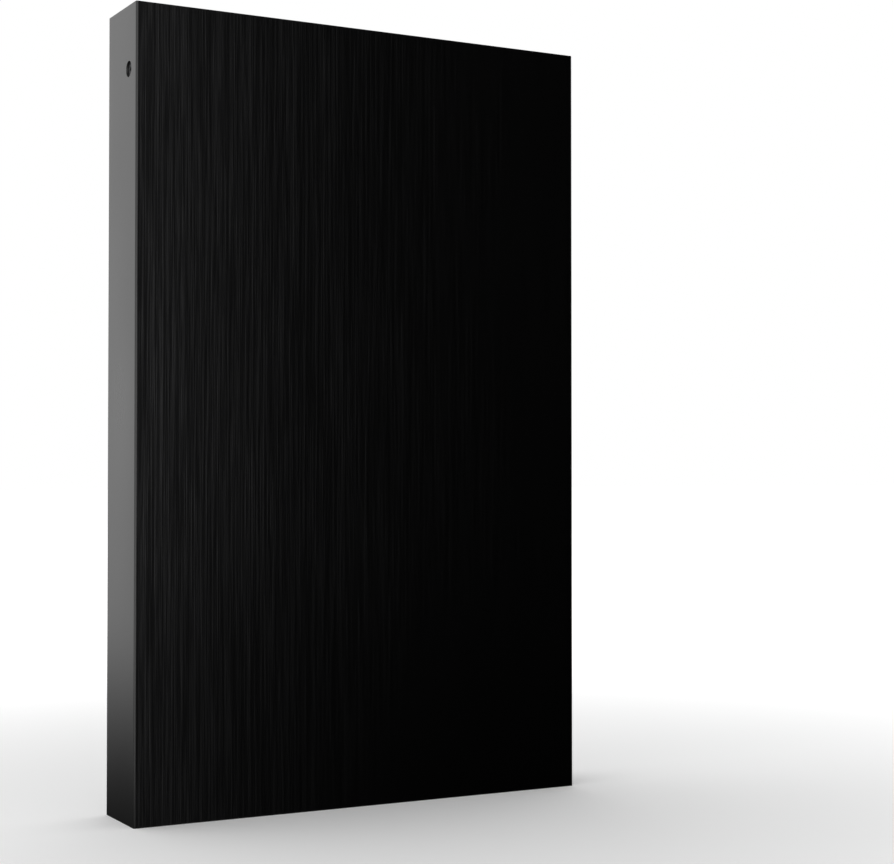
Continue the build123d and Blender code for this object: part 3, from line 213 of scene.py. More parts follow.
def mirror_card(name, gradings, place, turn=(0, 0, 0)):
    """A square card that only mirrored light can see, graded by one or more measures."""
    bpy.ops.object.select_all(action="DESELECT")
    bpy.ops.mesh.primitive_plane_add(size=card_length, location=place, rotation=turn)
    card = bpy.context.object
    bpy.ops.object.transform_apply(location=True, rotation=True, scale=True)
    card.name = name
    paint = bpy.data.materials.new(name)
    paint.use_nodes = True
    tree = paint.node_tree
    tree.nodes.remove(tree.nodes["Principled BSDF"])
    shine = tree.nodes.new("ShaderNodeEmission")
    strength = None
    for measure, first, last in gradings:
        grading = graded(tree, measure(tree), first, last)
        strength = product(tree, strength, grading) if strength else grading
    tree.links.new(strength, shine.inputs["Strength"])
    tree.links.new(shine.outputs["Emission"], tree.nodes["Material Output"].inputs["Surface"])
    card.data.materials.append(paint)
    card.visible_camera = False
    card.visible_diffuse = False
    card.visible_transmission = False
    card.visible_shadow = False


fan = (turn_round_image, (bearing(-10), 1.55), (bearing(34), 0.0))
mirror_card(
    "left_card",
    [(distance_from_foot, (0.0, 0.0), (0.36, 0.9))],
    (-card_shift, front_y + card_length / 2, card_height),
)
mirror_card(
    "foot_card",
    [fan, fan, (distance_from_foot, (0.03, 0.72), (0.9, 1.0))],
    (card_shift, front_y - card_length / 2, card_height),
)
mirror_card("right_card", [fan, fan], right_card_place, right_card_turn)
print("three cards set")

# %% Hang the softbox
lamp_place = Vector((-0.1, 0.28, 0.98))
body_middle = Vector((0.0, 0.0, 60 * mm))
lamp_power = 5.6
lamp_size = (1.5, 1.0)

bpy.ops.object.select_all(action="DESELECT")
aim = (body_middle - lamp_place).to_track_quat("-Z", "Y")
bpy.ops.object.light_add(type="AREA", location=lamp_place, rotation=aim.to_euler())
lamp = bpy.context.object
lamp.name = "back_softbox"
lamp.data.shape = "RECTANGLE"
lamp.data.size, lamp.data.size_y = lamp_size
lamp.data.energy = lamp_power
print("softbox of", lamp_power, "W hung")

# %% [markdown]
# ## How the finishes are made
# A real surface is never one flat colour: brushing, grain, plating and moulding all leave small
# marks. Each finish below is a Principled shader whose colour, gloss and surface follow a pattern
# on Object coordinates, so that a mark has its true size in millimetres and stays on its piece.
# Colour and surface follow the same pattern, and gloss follows a slower one, as from handling.

# %% Helpers for finishes
def start_finish(name, colour, roughness, metallic=0.0, ior=1.5):
    """A new material and its shader, with plain starting values."""
    material = bpy.data.materials.new(name)
    material.use_nodes = True
    shader = material.node_tree.nodes["Principled BSDF"]
    shader.inputs["Base Color"].default_value = colour + (1.0,)
    shader.inputs["Roughness"].default_value = roughness
    shader.inputs["Metallic"].default_value = metallic
    shader.inputs["IOR"].default_value = ior
    return material, shader


def add_node(material, kind, sockets):
    """Adds a node and sets the named sockets."""
    made = material.node_tree.nodes.new(kind)
    for name, value in sockets.items():
        made.inputs[name].default_value = value
    return made


def wire(material, source, target):
    """Joins an output to an input."""
    material.node_tree.links.new(source, target)


def mapped_place(material, scale=(1.0, 1.0, 1.0), shift=(0.0, 0.0, 0.0), turn=(0.0, 0.0, 0.0)):
    """Object coordinates in metres, stretched, shifted and turned."""
    coordinates = add_node(material, "ShaderNodeTexCoord", {})
    mapping = add_node(
        material, "ShaderNodeMapping", {"Scale": scale, "Location": shift, "Rotation": turn}
    )
    wire(material, coordinates.outputs["Object"], mapping.inputs["Vector"])
    return mapping.outputs["Vector"]


def grain(material, per_metre, detail=2.0, shift=(0.0, 0.0, 0.0)):
    """Noise with so many features to the metre along X, Y and Z."""
    noise = add_node(material, "ShaderNodeTexNoise", {"Scale": 1.0, "Detail": detail})
    wire(material, mapped_place(material, per_metre, shift), noise.inputs["Vector"])
    return noise.outputs["Fac"]


def spread(material, source, low, high, start=0.3, end=0.7):
    """Maps the middle of a pattern's range to a range of values."""
    mapped = add_node(
        material,
        "ShaderNodeMapRange",
        {"From Min": start, "From Max": end, "To Min": low, "To Max": high},
    )
    wire(material, source, mapped.inputs["Value"])
    return mapped.outputs["Result"]


def two_colours(material, source, first, second):
    """Runs from one colour to another as a pattern rises."""
    ramp = add_node(material, "ShaderNodeValToRGB", {})
    ramp.color_ramp.elements[0].color = first + (1.0,)
    ramp.color_ramp.elements[1].color = second + (1.0,)
    wire(material, source, ramp.inputs["Fac"])
    return ramp.outputs["Color"]


def relief(material, shader, height, depth):
    """Raises a pattern by a depth in metres."""
    bump = add_node(material, "ShaderNodeBump", {"Distance": depth})
    wire(material, height, bump.inputs["Height"])
    wire(material, bump.outputs["Normal"], shader.inputs["Normal"])


def blended(material, first, second, share):
    """Adds a share of one pattern to the rest of another."""
    kept = add_node(material, "ShaderNodeMath", {})
    kept.operation = "MULTIPLY"
    kept.inputs[1].default_value = 1.0 - share
    wire(material, first, kept.inputs[0])
    total = add_node(material, "ShaderNodeMath", {})
    total.operation = "MULTIPLY_ADD"
    total.inputs[1].default_value = share
    wire(material, second, total.inputs[0])
    wire(material, kept.outputs["Value"], total.inputs[2])
    return total.outputs["Value"]


# %% [markdown]
# ## Black anodising
# The wide faces were brushed along the drive's length before they were dyed black, which leaves
# hair lines that show where light comes in low. Dyed metal still mirrors like a metal, only
# darkly, so the shader is metallic with a very dark colour, and the lines run in that colour, in
# the gloss and in the surface. Over them lies the clear seal that closes the dyed layer, a faint
# coat that is duller than the metal. The narrow sides and the broken edges are smooth satin instead.

# %% Brushed and satin black
def brushed_black():
    """Black anodising over a face that was brushed along the drive's length."""
    material, shader = start_finish("brushed_black", (0.045, 0.045, 0.046), 0.14, metallic=1.0)
    shader.inputs["Anisotropic"].default_value = 0.3
    shader.inputs["Coat Weight"].default_value = 0.08
    shader.inputs["Coat Roughness"].default_value = 0.75
    tangent = add_node(material, "ShaderNodeTangent", {})
    tangent.direction_type = "RADIAL"
    tangent.axis = "Z"
    wire(material, tangent.outputs["Tangent"], shader.inputs["Tangent"])
    hairs = grain(material, (12000.0, 12000.0, 120.0))
    strokes = grain(material, (6500.0, 6500.0, 45.0), shift=(3.0, 0.0, 1.0))
    lines = blended(material, hairs, strokes, 0.6)
    shade = spread(material, lines, 0.0, 1.0, 0.46, 0.74)
    colour = two_colours(material, shade, (0.026, 0.026, 0.027), (0.135, 0.135, 0.138))
    wire(material, colour, shader.inputs["Base Color"])
    wire(material, spread(material, lines, 0.12, 0.16), shader.inputs["Roughness"])
    relief(material, shader, lines, 0.016 * mm)
    return material


def satin_black():
    """Black anodising over a fine-blasted side and the broken edges."""
    material, shader = start_finish("satin_black", (0.001, 0.001, 0.001), 0.3, ior=1.6)
    pores = grain(material, (9000.0, 9000.0, 9000.0))
    clouds = grain(material, (60.0, 60.0, 25.0), detail=1.0)
    wire(material, spread(material, clouds, 0.27, 0.33), shader.inputs["Roughness"])
    colour = two_colours(material, pores, (0.0004, 0.0004, 0.0004), (0.0016, 0.0016, 0.0016))
    wire(material, colour, shader.inputs["Base Color"])
    relief(material, shader, pores, 0.002 * mm)
    return material


finishes = {"brushed_black": brushed_black(), "satin_black": satin_black()}
print("made", ", ".join(finishes))

# %% [markdown]
# ## The sleeve
# The sleeve is an aluminium extrusion: a flat tube, cut square, with its edges just broken. Its
# CAD solid has the right size, but the light that runs along those edges needs finer rounds. So
# it is built again here as on a bench: a block, rounded edges, a bore right through, and two
# counterbored holes. Two finishes go on it, one for the wide faces and one for all the rest.

# %% Helpers for modelling
close_by = 0.01 * mm


def choose(piece):
    """Leaves edit mode and makes a piece the only one selected."""
    if bpy.context.mode != "OBJECT":
        bpy.ops.object.mode_set(mode="OBJECT")
    bpy.ops.object.select_all(action="DESELECT")
    piece.select_set(True)
    bpy.context.view_layer.objects.active = piece


def pick(piece, kind, wanted):
    """Selects, in edit mode, the edges or faces whose corners pass a test."""
    choose(piece)
    bpy.ops.object.mode_set(mode="EDIT")
    bpy.ops.mesh.select_mode(type="EDGE" if kind == "edges" else "FACE")
    bpy.ops.mesh.select_all(action="DESELECT")
    bpy.ops.object.mode_set(mode="OBJECT")
    for element in piece.data.polygons if kind == "faces" else piece.data.edges:
        element.select = wanted([piece.data.vertices[index].co for index in element.vertices])
    bpy.ops.object.mode_set(mode="EDIT")


def done():
    """Leaves edit mode."""
    bpy.ops.object.mode_set(mode="OBJECT")


def block(name, low, high):
    """A box between two corners."""
    bpy.ops.object.select_all(action="DESELECT")
    bpy.ops.mesh.primitive_cube_add(size=1, location=(low + high) / 2, scale=high - low)
    bpy.ops.object.transform_apply(location=True, rotation=True, scale=True)
    bpy.context.object.name = name
    return bpy.context.object


def rod(name, radius, low, high, turn=(0, 0, 0)):
    """A round bar between two places."""
    bpy.ops.object.select_all(action="DESELECT")
    bpy.ops.mesh.primitive_cylinder_add(
        vertices=64, radius=radius, depth=(high - low).length, location=(low + high) / 2, rotation=turn
    )
    bpy.ops.object.transform_apply(location=True, rotation=True, scale=True)
    bpy.context.object.name = name
    return bpy.context.object


def combine(piece, tool, operation="DIFFERENCE"):
    """Cuts a tool out of a piece, or joins it on, and throws the tool away."""
    choose(piece)
    change = piece.modifiers.new("combine", "BOOLEAN")
    change.operation = operation
    change.solver = "EXACT"
    change.object = tool
    bpy.ops.object.modifier_apply(modifier=change.name)
    bpy.data.objects.remove(tool)


def upright(ends):
    """True for an edge that runs along Z."""
    return (ends[0] - ends[1]).to_2d().length < close_by


def level(ends):
    """True for an edge that lies flat."""
    return abs(ends[0].z - ends[1].z) < close_by


def hand_over(piece, body, node, smooth_angle=32):
    """Shades a finished piece, its flat faces flat, hangs it on its body and hides its CAD piece."""
    choose(piece)
    bpy.ops.object.shade_smooth_by_angle(angle=math.radians(smooth_angle))
    weighting = piece.modifiers.new("weighting", "WEIGHTED_NORMAL")
    weighting.keep_sharp = True
    weighting.weight = 100
    bpy.ops.object.modifier_apply(modifier=weighting.name)
    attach(piece, body)
    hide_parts(node)
    print(piece.name, "has", len(piece.data.polygons), "faces")


# %% Model the sleeve
edge_radius = 0.3 * mm
rim_break = 0.04 * mm
bore_radius = 0.5 * mm
slide_clearance = 0.15 * mm
bore_run_out = 5 * mm

sleeve_low, sleeve_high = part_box("sleeve")
sleeve = block("brushed_sleeve", sleeve_low, sleeve_high)
pick(sleeve, "edges", upright)
bpy.ops.mesh.bevel(offset=edge_radius, segments=6)
pick(sleeve, "edges", level)
bpy.ops.mesh.bevel(offset=rim_break, segments=3)
done()

tray_low, tray_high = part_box("tray")
bore_room = Vector((slide_clearance, slide_clearance, bore_run_out))
bore_top = Vector((tray_high.x, tray_high.y, sleeve_high.z))
bore = block("bore", tray_low - bore_room, bore_top + bore_room)
pick(bore, "edges", upright)
bpy.ops.mesh.bevel(offset=bore_radius, segments=4)
done()
combine(sleeve, bore)
print("sleeve", [round(value / mm, 2) for value in sleeve.dimensions], "mm")

# %% Counterbore the sleeve
screw_low, screw_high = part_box("sleeve_screws")
screw_y = (screw_low.y + screw_high.y) / 2
screw_z = (screw_low.z + screw_high.z) / 2
head_radius = (screw_high.z - screw_low.z) / 2
head_sink = sleeve_high.x - screw_high.x
head_height = 0.4 * mm
head_clearance = 0.07 * mm
mouth_radius = head_radius + head_clearance
mouth_break = 0.04 * mm
shank_radius = 0.65 * mm
shank_clearance = 0.1 * mm
hole_radius = shank_radius + shank_clearance
run_out = 2 * mm


def mouth_edge(ends):
    """True for an edge of a hole's round mouth."""
    return all(
        abs(abs(end.x) - sleeve_high.x) < close_by
        and abs(math.hypot(end.y - screw_y, end.z - screw_z) - mouth_radius) < close_by
        for end in ends
    )


for side in (-1, 1):
    for radius, depth in ((mouth_radius, head_sink + head_height), (hole_radius, run_out)):
        drill_start = Vector((side * (sleeve_high.x + run_out), screw_y, screw_z))
        drill_end = Vector((side * (sleeve_high.x - depth), screw_y, screw_z))
        combine(sleeve, rod("drill", radius, drill_start, drill_end, (0, math.radians(90), 0)))
pick(sleeve, "edges", mouth_edge)
bpy.ops.mesh.bevel(offset=mouth_break, segments=2)
done()
print("counterbores at height", round(screw_z / mm, 1), "mm")

# %% Finish the sleeve
def wide_face(corners):
    """True for the flat front and back faces."""
    return all(abs(abs(corner.y) - sleeve_high.y) < 0.001 * mm for corner in corners)


sleeve.data.materials.append(finishes["satin_black"])
sleeve.data.materials.append(finishes["brushed_black"])
pick(sleeve, "faces", wide_face)
sleeve.active_material_index = 1
bpy.ops.object.material_slot_assign()
done()
hand_over(sleeve, "enclosure", "sleeve")

# %% [markdown]
# ## A finish from a pattern
# Most other finishes differ only in their pattern and their range of colour and gloss. So the
# patterns come first, each a small function that builds its nodes in a material: speckle for
# castings and mouldings, drawn lines for rolled metal, rings for turned work and windings, layers
# for stacked sheet, cells for foam and fibres for felt. One function then makes a finish from any.

# %% Patterns
def speckle(per_metre):
    """Even grain, as on castings, mouldings and plating."""
    return lambda material: grain(material, (per_metre, per_metre, per_metre), detail=4.0)


def drawn(per_metre, stretch=50.0):
    """Lines along the drive's length, as rolling leaves."""
    return lambda material: grain(material, (per_metre, per_metre, per_metre / stretch), detail=3.0)


def fibres(per_metre, stretch=14.0):
    """Two layers of threads that cross, as in felt."""

    def pattern(material):
        along = grain(material, (per_metre, per_metre, per_metre / stretch))
        across = grain(material, (per_metre / stretch, per_metre, per_metre))
        return blended(material, along, across, 0.5)

    return pattern


def wave(form, axis, pitch, centre=(0.0, 0.0)):
    """Rings round a Y axis at an X and a Z, or layers across an axis, at a pitch in metres."""

    def pattern(material):
        scale = math.tau / (20 * pitch)
        sockets = {"Scale": scale, "Distortion": 1.2, "Detail": 2.0, "Detail Scale": 0.4}
        made = add_node(material, "ShaderNodeTexWave", sockets)
        made.wave_type = form
        made.rings_direction = axis
        made.bands_direction = axis
        place = mapped_place(material, shift=(-centre[0], 0.0, -centre[1]))
        wire(material, place, made.inputs["Vector"])
        return made.outputs["Fac"]

    return pattern


def cells(per_metre):
    """Round cells, as in foam."""

    def pattern(material):
        made = add_node(material, "ShaderNodeTexVoronoi", {"Scale": 1.0, "Randomness": 0.9})
        wire(material, mapped_place(material, (per_metre,) * 3), made.inputs["Vector"])
        return made.outputs["Distance"]

    return pattern


def traces(run, pitch):
    """Straight conductors under a board's mask, in the plane of X and Z."""

    def pattern(material):
        sockets = {
            "Scale": 1.0, "Brick Width": run, "Row Height": pitch,
            "Mortar Size": pitch / 5, "Mortar Smooth": 0.3,
        }
        made = add_node(material, "ShaderNodeTexBrick", sockets)
        wire(material, mapped_place(material, turn=(math.radians(-90), 0, 0)), made.inputs["Vector"])
        return made.outputs["Fac"]

    return pattern


def finish(name, pattern, dark, light, smooth, rough, depth, metallic=0.0, ior=1.5):
    """A finish whose colour and surface follow a pattern, and its gloss a slower grain."""
    material, shader = start_finish(name, dark, smooth, metallic, ior)
    marks = pattern(material)
    colour = two_colours(material, spread(material, marks, 0.0, 1.0, 0.25, 0.75), dark, light)
    wire(material, colour, shader.inputs["Base Color"])
    handling = grain(material, (180.0, 180.0, 180.0), shift=(0.7, 0.3, 0.1))
    wire(material, spread(material, handling, smooth, rough), shader.inputs["Roughness"])
    relief(material, shader, marks, depth)
    finishes[name] = material
    return material


print("patterns ready")

# %% [markdown]
# ## The two screws
# A small black screw in each narrow side holds the tray in the sleeve. Its flat head sits below
# the surface, so that from the side one sees a dark hole. It is modelled once, standing on its own
# axis: a disc for the head, its lower face drawn in and then down for the shank, and a tapered
# cross cut from above. A narrow bevel catches the light round the recess. Two copies are then
# turned into place, each at its own angle, because nobody tightens two screws alike.

# %% Model one screw
screw_length = 4.05 * mm
tip_length = 0.2 * mm
tip_scale = 0.7
recess_depth = 0.45 * mm
arm_length = 1.1 * mm
arm_width = 0.28 * mm
arm_taper = 0.6
screw_rounding = 0.04 * mm


def draw_down(distance, scale):
    """Pulls the selected lower face down and draws it in about the axis."""
    bpy.ops.mesh.extrude_region_move(TRANSFORM_OT_translate={"value": (0, 0, -distance)})
    bpy.ops.transform.resize(value=(scale, scale, 1.0), center_override=(0, 0, 0))


def round_edges(piece, width, segments=2, angle=40):
    """Rounds every sharp edge of a piece with a bevel modifier."""
    choose(piece)
    rounding = piece.modifiers.new("rounding", "BEVEL")
    rounding.width = width
    rounding.segments = segments
    rounding.limit_method = "ANGLE"
    rounding.angle_limit = math.radians(angle)
    bpy.ops.object.modifier_apply(modifier=rounding.name)


screw = rod("screw_pattern", head_radius, Vector((0, 0, -head_height)), Vector((0, 0, 0)))
pick(screw, "faces", lambda corners: all(corner.z < -head_height / 2 for corner in corners))
draw_down(0.0, shank_radius / head_radius)
draw_down(screw_length - head_height - tip_length, 1.0)
draw_down(tip_length, tip_scale)
done()
arm_corner = Vector((arm_length / 2, arm_width / 2, recess_depth))
for quarter in (0, 1):
    arm = block("arm", -arm_corner, arm_corner)
    pick(arm, "faces", lambda corners: all(corner.z < 0 for corner in corners))
    bpy.ops.transform.resize(value=(arm_taper, arm_taper, 1.0), center_override=(0, 0, 0))
    done()
    arm.rotation_euler.z = math.radians(90 * quarter)
    bpy.ops.object.transform_apply(location=True, rotation=True, scale=True)
    combine(screw, arm)
round_edges(screw, screw_rounding)
print("screw", [round(value / mm, 2) for value in screw.dimensions], "mm")

# %% Drive in two copies
black_zinc = finish(
    "black_zinc", speckle(7000.0),
    (0.012, 0.012, 0.013), (0.034, 0.034, 0.036), 0.3, 0.44, 0.004 * mm, 0.85,
)
screw.data.materials.append(black_zinc)
for name, side, turned in (("left_screw", -1, 18), ("right_screw", 1, 63)):
    choose(screw)
    bpy.ops.object.duplicate()
    copy = bpy.context.object
    copy.name = name
    copy.rotation_euler = (0, 0, math.radians(turned))
    bpy.ops.object.transform_apply(location=True, rotation=True, scale=True)
    copy.rotation_euler = (0, math.radians(90 * side), 0)
    copy.location = (side * (sleeve_high.x - head_sink), screw_y, screw_z)
    bpy.ops.object.transform_apply(location=True, rotation=True, scale=True)
    hand_over(copy, "enclosure", "sleeve_screws")
bpy.data.objects.remove(screw)

# %% [markdown]
# ## The moulded ends
# Both ends are closed by matte black mouldings: a port panel above and the tray's own blind panel
# below. The panel is modelled as a toolmaker would think of it: a plate, its corners and upper
# rim rounded, an opening with a sloped lead-in, a round hole for the lamp, and a sprung hook
# at each side. One hook is modelled, its catch pulled out of its side, and a copy is turned half
# round. The tray is a long, ribbed shape that only shows its lower end, so a copy of its solid is
# merged and its edges are rounded over instead.

# %% Model the port panel
plate_thickness = 1.6 * mm
panel_rounding = 0.15 * mm
jacket_clearance = 0.25 * mm
jacket_foot = 0.65 * mm
opening_radius = 0.6 * mm
lead_in = 0.3 * mm
over_cut = 1 * mm

panel_low, panel_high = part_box("port_panel")
plate_low = Vector((panel_low.x, panel_low.y, panel_high.z - plate_thickness))
panel = block("moulded_panel", plate_low, panel_high)
pick(panel, "edges", upright)
bpy.ops.mesh.bevel(offset=bore_radius, segments=5)
pick(panel, "edges", lambda ends: level(ends) and ends[0].z > panel_high.z - close_by)
bpy.ops.mesh.bevel(offset=panel_rounding, segments=3)
done()

jacket_low, jacket_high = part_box("port_jacket")
opening_half_x = jacket_high.x - jacket_foot + jacket_clearance
opening_low = Vector((-opening_half_x, jacket_low.y - jacket_clearance, plate_low.z - over_cut))
opening_high = Vector((opening_half_x, jacket_high.y + jacket_clearance, panel_high.z + over_cut))
opening = block("opening", opening_low, opening_high)
pick(opening, "edges", upright)
bpy.ops.mesh.bevel(offset=opening_radius, segments=6)
done()
combine(panel, opening)
print("opening", round(2 * opening_half_x / mm, 2), "mm wide")

# %% Slope the opening and bore the lamp hole
def opening_mouth(ends):
    """True for an edge of the opening's upper rim."""
    return all(
        corner.z > panel_high.z - close_by
        and abs(corner.x) < opening_high.x + close_by
        and opening_low.y - close_by < corner.y < opening_high.y + close_by
        for corner in ends
    )


pick(panel, "edges", opening_mouth)
bpy.ops.mesh.bevel(offset=lead_in, segments=1)
done()

pipe_low, pipe_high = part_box("light_pipe")
pipe_middle = (pipe_low + pipe_high) / 2
pipe_radius = 0.8 * mm
pipe_clearance = 0.05 * mm
hole_low = Vector((pipe_middle.x, pipe_middle.y, plate_low.z - over_cut))
hole_high = Vector((pipe_middle.x, pipe_middle.y, panel_high.z + over_cut))
combine(panel, rod("lamp_hole", pipe_radius + pipe_clearance, hole_low, hole_high))
print("lamp hole at", round(pipe_middle.x / mm, 2), round(pipe_middle.y / mm, 2), "mm")

# %% Add the hooks
hook_half_width = 2.5 * mm
hook_thickness = 1.0 * mm
hook_inset = 1.02 * mm
catch_length = 1.0 * mm
catch_height = 0.6 * mm
catch_slope = 0.35 * mm

outer = panel_high.x - hook_inset
crest = outer + catch_height
catch_top = panel_low.z + catch_length
hook = block(
    "hook",
    Vector((outer - hook_thickness, -hook_half_width, panel_low.z)),
    Vector((outer, hook_half_width, plate_low.z + over_cut)),
)
pick(hook, "faces", lambda corners: True)
bpy.ops.mesh.bisect(plane_co=(0, 0, catch_top), plane_no=(0, 0, 1))


def catch_face(corners):
    """True for the part of the hook's outer side that the catch grows from."""
    return all(
        corner.x > outer - close_by and corner.z < catch_top + close_by for corner in corners
    )


def catch_toe(ends):
    """True for the catch's lower outer edge."""
    return all(end.x > crest - close_by and end.z < panel_low.z + close_by for end in ends)


pick(hook, "faces", catch_face)
bpy.ops.mesh.extrude_region_move(TRANSFORM_OT_translate={"value": (catch_height, 0, 0)})
pick(hook, "edges", catch_toe)
bpy.ops.mesh.bevel(offset=catch_slope, segments=1)
choose(hook)
bpy.ops.object.duplicate()
other_hook = bpy.context.object
other_hook.rotation_euler = (0, 0, math.radians(180))
bpy.ops.object.transform_apply(location=True, rotation=True, scale=True)
for each in (hook, other_hook):
    combine(panel, each, "UNION")
print("hooks reach", round((crest - panel_high.x) / mm, 2), "mm past the panel's edge")

# %% Finish the panel
moulded_black = finish(
    "moulded_black", speckle(5200.0),
    (0.009, 0.009, 0.0095), (0.024, 0.024, 0.025), 0.42, 0.56, 0.02 * mm,
)
panel.data.materials.append(moulded_black)
hand_over(panel, "enclosure", "port_panel")

# %% Soften the tray
def softened_copy(node, name, width, angle=40):
    """A merged copy of a CAD piece with its sharp edges rounded over."""
    piece = bpy.data.objects.new(name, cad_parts[node].data.copy())
    scene.collection.objects.link(piece)
    piece.data.materials.clear()
    choose(piece)
    bpy.ops.object.mode_set(mode="EDIT")
    bpy.ops.mesh.select_all(action="SELECT")
    bpy.ops.mesh.remove_doubles(threshold=0.001 * mm)
    bpy.ops.mesh.dissolve_limited(angle_limit=math.radians(1))
    done()
    round_edges(piece, width, angle=angle)
    return piece


tray_rounding = 0.1 * mm
tray = softened_copy("tray", "moulded_tray", tray_rounding)
tray.data.materials.append(moulded_black)
hand_over(tray, "enclosure", "tray")

# %% [markdown]
# ## The port
# The data port is a folded steel jacket with two openings side by side, and a black insulator
# inside that carries gold contacts. The jacket's solid is right apart from its knife edges, so a
# copy is merged and the folds and the lip are rounded. The insulator and contacts stay as they
# are: they lie deep inside and only need their finishes.

# %% Finish the port
rolled_steel = finish(
    "rolled_steel", drawn(4200.0),
    (0.47, 0.48, 0.49), (0.62, 0.63, 0.64), 0.24, 0.36, 0.006 * mm, 1.0,
)
finish(
    "black_insulator", drawn(900.0, 6.0),
    (0.024, 0.024, 0.026), (0.046, 0.046, 0.048), 0.34, 0.48, 0.006 * mm,
)
finish(
    "gold_flash", drawn(5200.0, 30.0),
    (0.76, 0.57, 0.22), (0.9, 0.71, 0.33), 0.18, 0.3, 0.003 * mm, 1.0,
)
jacket_rounding = 0.05 * mm
jacket = softened_copy("port_jacket", "folded_jacket", jacket_rounding)
jacket.data.materials.append(rolled_steel)
hand_over(jacket, "enclosure", "port_jacket")

# %% [markdown]
# ## The lamp's lens
# A short clear rod carries the status lamp's light through the panel. Its outer end is a little
# domed, and a flange behind the panel keeps it from being pushed out. It starts as the flange, the
# inset faces are pulled out to either side, and the outer rim is rounded in a few steps. Clear
# resin lets most light through, so the shader transmits, with faint streaks in its gloss.

# %% Model the lens
flange_radius = (pipe_high.x - pipe_low.x) / 2
lens_foot = 0.1 * mm
flange_low = pipe_low.z + lens_foot
flange_high = plate_low.z
lens_dome = 0.4 * mm

lens = rod(
    "lamp_lens",
    flange_radius,
    Vector((pipe_middle.x, pipe_middle.y, flange_low)),
    Vector((pipe_middle.x, pipe_middle.y, flange_high)),
)
for end, reach in ((flange_high, pipe_high.z), (flange_low, pipe_low.z)):
    pick(lens, "faces", lambda corners: all(abs(corner.z - end) < close_by for corner in corners))
    bpy.ops.mesh.inset(thickness=flange_radius - pipe_radius)
    bpy.ops.mesh.extrude_region_move(TRANSFORM_OT_translate={"value": (0, 0, reach - end)})
    done()
pick(lens, "edges", lambda ends: all(end.z > pipe_high.z - close_by for end in ends))
bpy.ops.mesh.bevel(offset=lens_dome, segments=6)
done()
clear_resin = finish(
    "clear_resin", drawn(1500.0, 8.0), (0.76, 0.79, 0.82), (0.86, 0.88, 0.9), 0.08, 0.2, 0.004 * mm
)
clear_resin.node_tree.nodes["Principled BSDF"].inputs["Transmission Weight"].default_value = 0.6
lens.data.materials.append(clear_resin)
hand_over(lens, "enclosure", "light_pipe")

# %% [markdown]
# ## The foam pad
# A sheet of soft foam is squeezed between the drive's cover and the sleeve, so its two wide faces
# are flat and its sides bulge. A block with its four corners rounded and its rim rolled over by
# almost half the thickness gives that form. The cells of the foam are in its finish.

# %% Model the foam pad
pad_corner = 2.0 * mm
pad_roll = 0.95 * mm

pad_low, pad_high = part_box("foam_pad")
pad = block("foam_sheet", pad_low, pad_high)
pick(pad, "edges", lambda ends: abs(ends[0].y - ends[1].y) > 1 * mm)
bpy.ops.mesh.bevel(offset=pad_corner, segments=6)
pick(pad, "edges", lambda ends: abs(ends[0].y - ends[1].y) < close_by)
bpy.ops.mesh.bevel(offset=pad_roll, segments=5)
done()
open_foam = finish(
    "open_foam", cells(1400.0), (0.05, 0.05, 0.055), (0.16, 0.16, 0.17), 0.88, 0.98, 0.15 * mm
)
pad.data.materials.append(open_foam)
hand_over(pad, "enclosure", "foam_pad")

# %% [markdown]
# ## Metals inside
# The sealed drive in the tray has a die-cast base, a rolled steel cover, turned and ground parts on
# its two axes, a glass platter with a mirror coat, steel laminations, plated magnets and copper
# windings. Turned parts get rings about their own axis, and windings get rings at the pitch of the
# wire, so the marks run the way the work was done.

# %% Make the inner metals
spindle_low, spindle_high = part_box("platter")
spindle_axis = ((spindle_low.x + spindle_high.x) / 2, (spindle_low.z + spindle_high.z) / 2)
pivot_low, pivot_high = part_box("pivot_bearing")
pivot_axis = ((pivot_low.x + pivot_high.x) / 2, (pivot_low.z + pivot_high.z) / 2)
coil_low, coil_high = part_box("voice_coil")
coil_axis = ((coil_low.x + coil_high.x) / 2, (coil_low.z + coil_high.z) / 2)
wire_pitch = 0.12 * mm
sheet_pitch = 0.2 * mm

finish(
    "cast_alloy", speckle(2400.0),
    (0.38, 0.39, 0.4), (0.53, 0.54, 0.55), 0.42, 0.58, 0.03 * mm, 1.0,
)
finish(
    "turned_hub", wave("RINGS", "Y", 0.09 * mm, spindle_axis),
    (0.64, 0.65, 0.66), (0.76, 0.77, 0.78), 0.16, 0.28, 0.004 * mm, 1.0,
)
finish(
    "milled_arms", drawn(3000.0, 20.0),
    (0.62, 0.63, 0.64), (0.76, 0.77, 0.78), 0.24, 0.36, 0.006 * mm, 1.0,
)
finish(
    "mirror_coat", wave("RINGS", "Y", 0.3 * mm, spindle_axis),
    (0.74, 0.74, 0.76), (0.8, 0.8, 0.82), 0.02, 0.06, 0.0004 * mm, 1.0,
)
finish(
    "ground_pivot", wave("RINGS", "Y", 0.06 * mm, pivot_axis),
    (0.44, 0.43, 0.41), (0.57, 0.56, 0.54), 0.18, 0.3, 0.003 * mm, 1.0,
)
finish(
    "ground_spindle", wave("RINGS", "Y", 0.06 * mm, spindle_axis),
    (0.44, 0.43, 0.41), (0.57, 0.56, 0.54), 0.18, 0.3, 0.003 * mm, 1.0,
)
finish(
    "blued_sheets", wave("BANDS", "Y", sheet_pitch),
    (0.1, 0.1, 0.115), (0.22, 0.22, 0.25), 0.36, 0.5, 0.02 * mm, 0.9,
)
finish(
    "nickel_magnet", speckle(1800.0),
    (0.38, 0.38, 0.38), (0.47, 0.46, 0.45), 0.2, 0.34, 0.006 * mm, 1.0,
)
finish(
    "stator_winding", wave("RINGS", "Y", wire_pitch, spindle_axis),
    (0.42, 0.18, 0.08), (0.78, 0.42, 0.22), 0.22, 0.34, 0.03 * mm, 0.9,
)
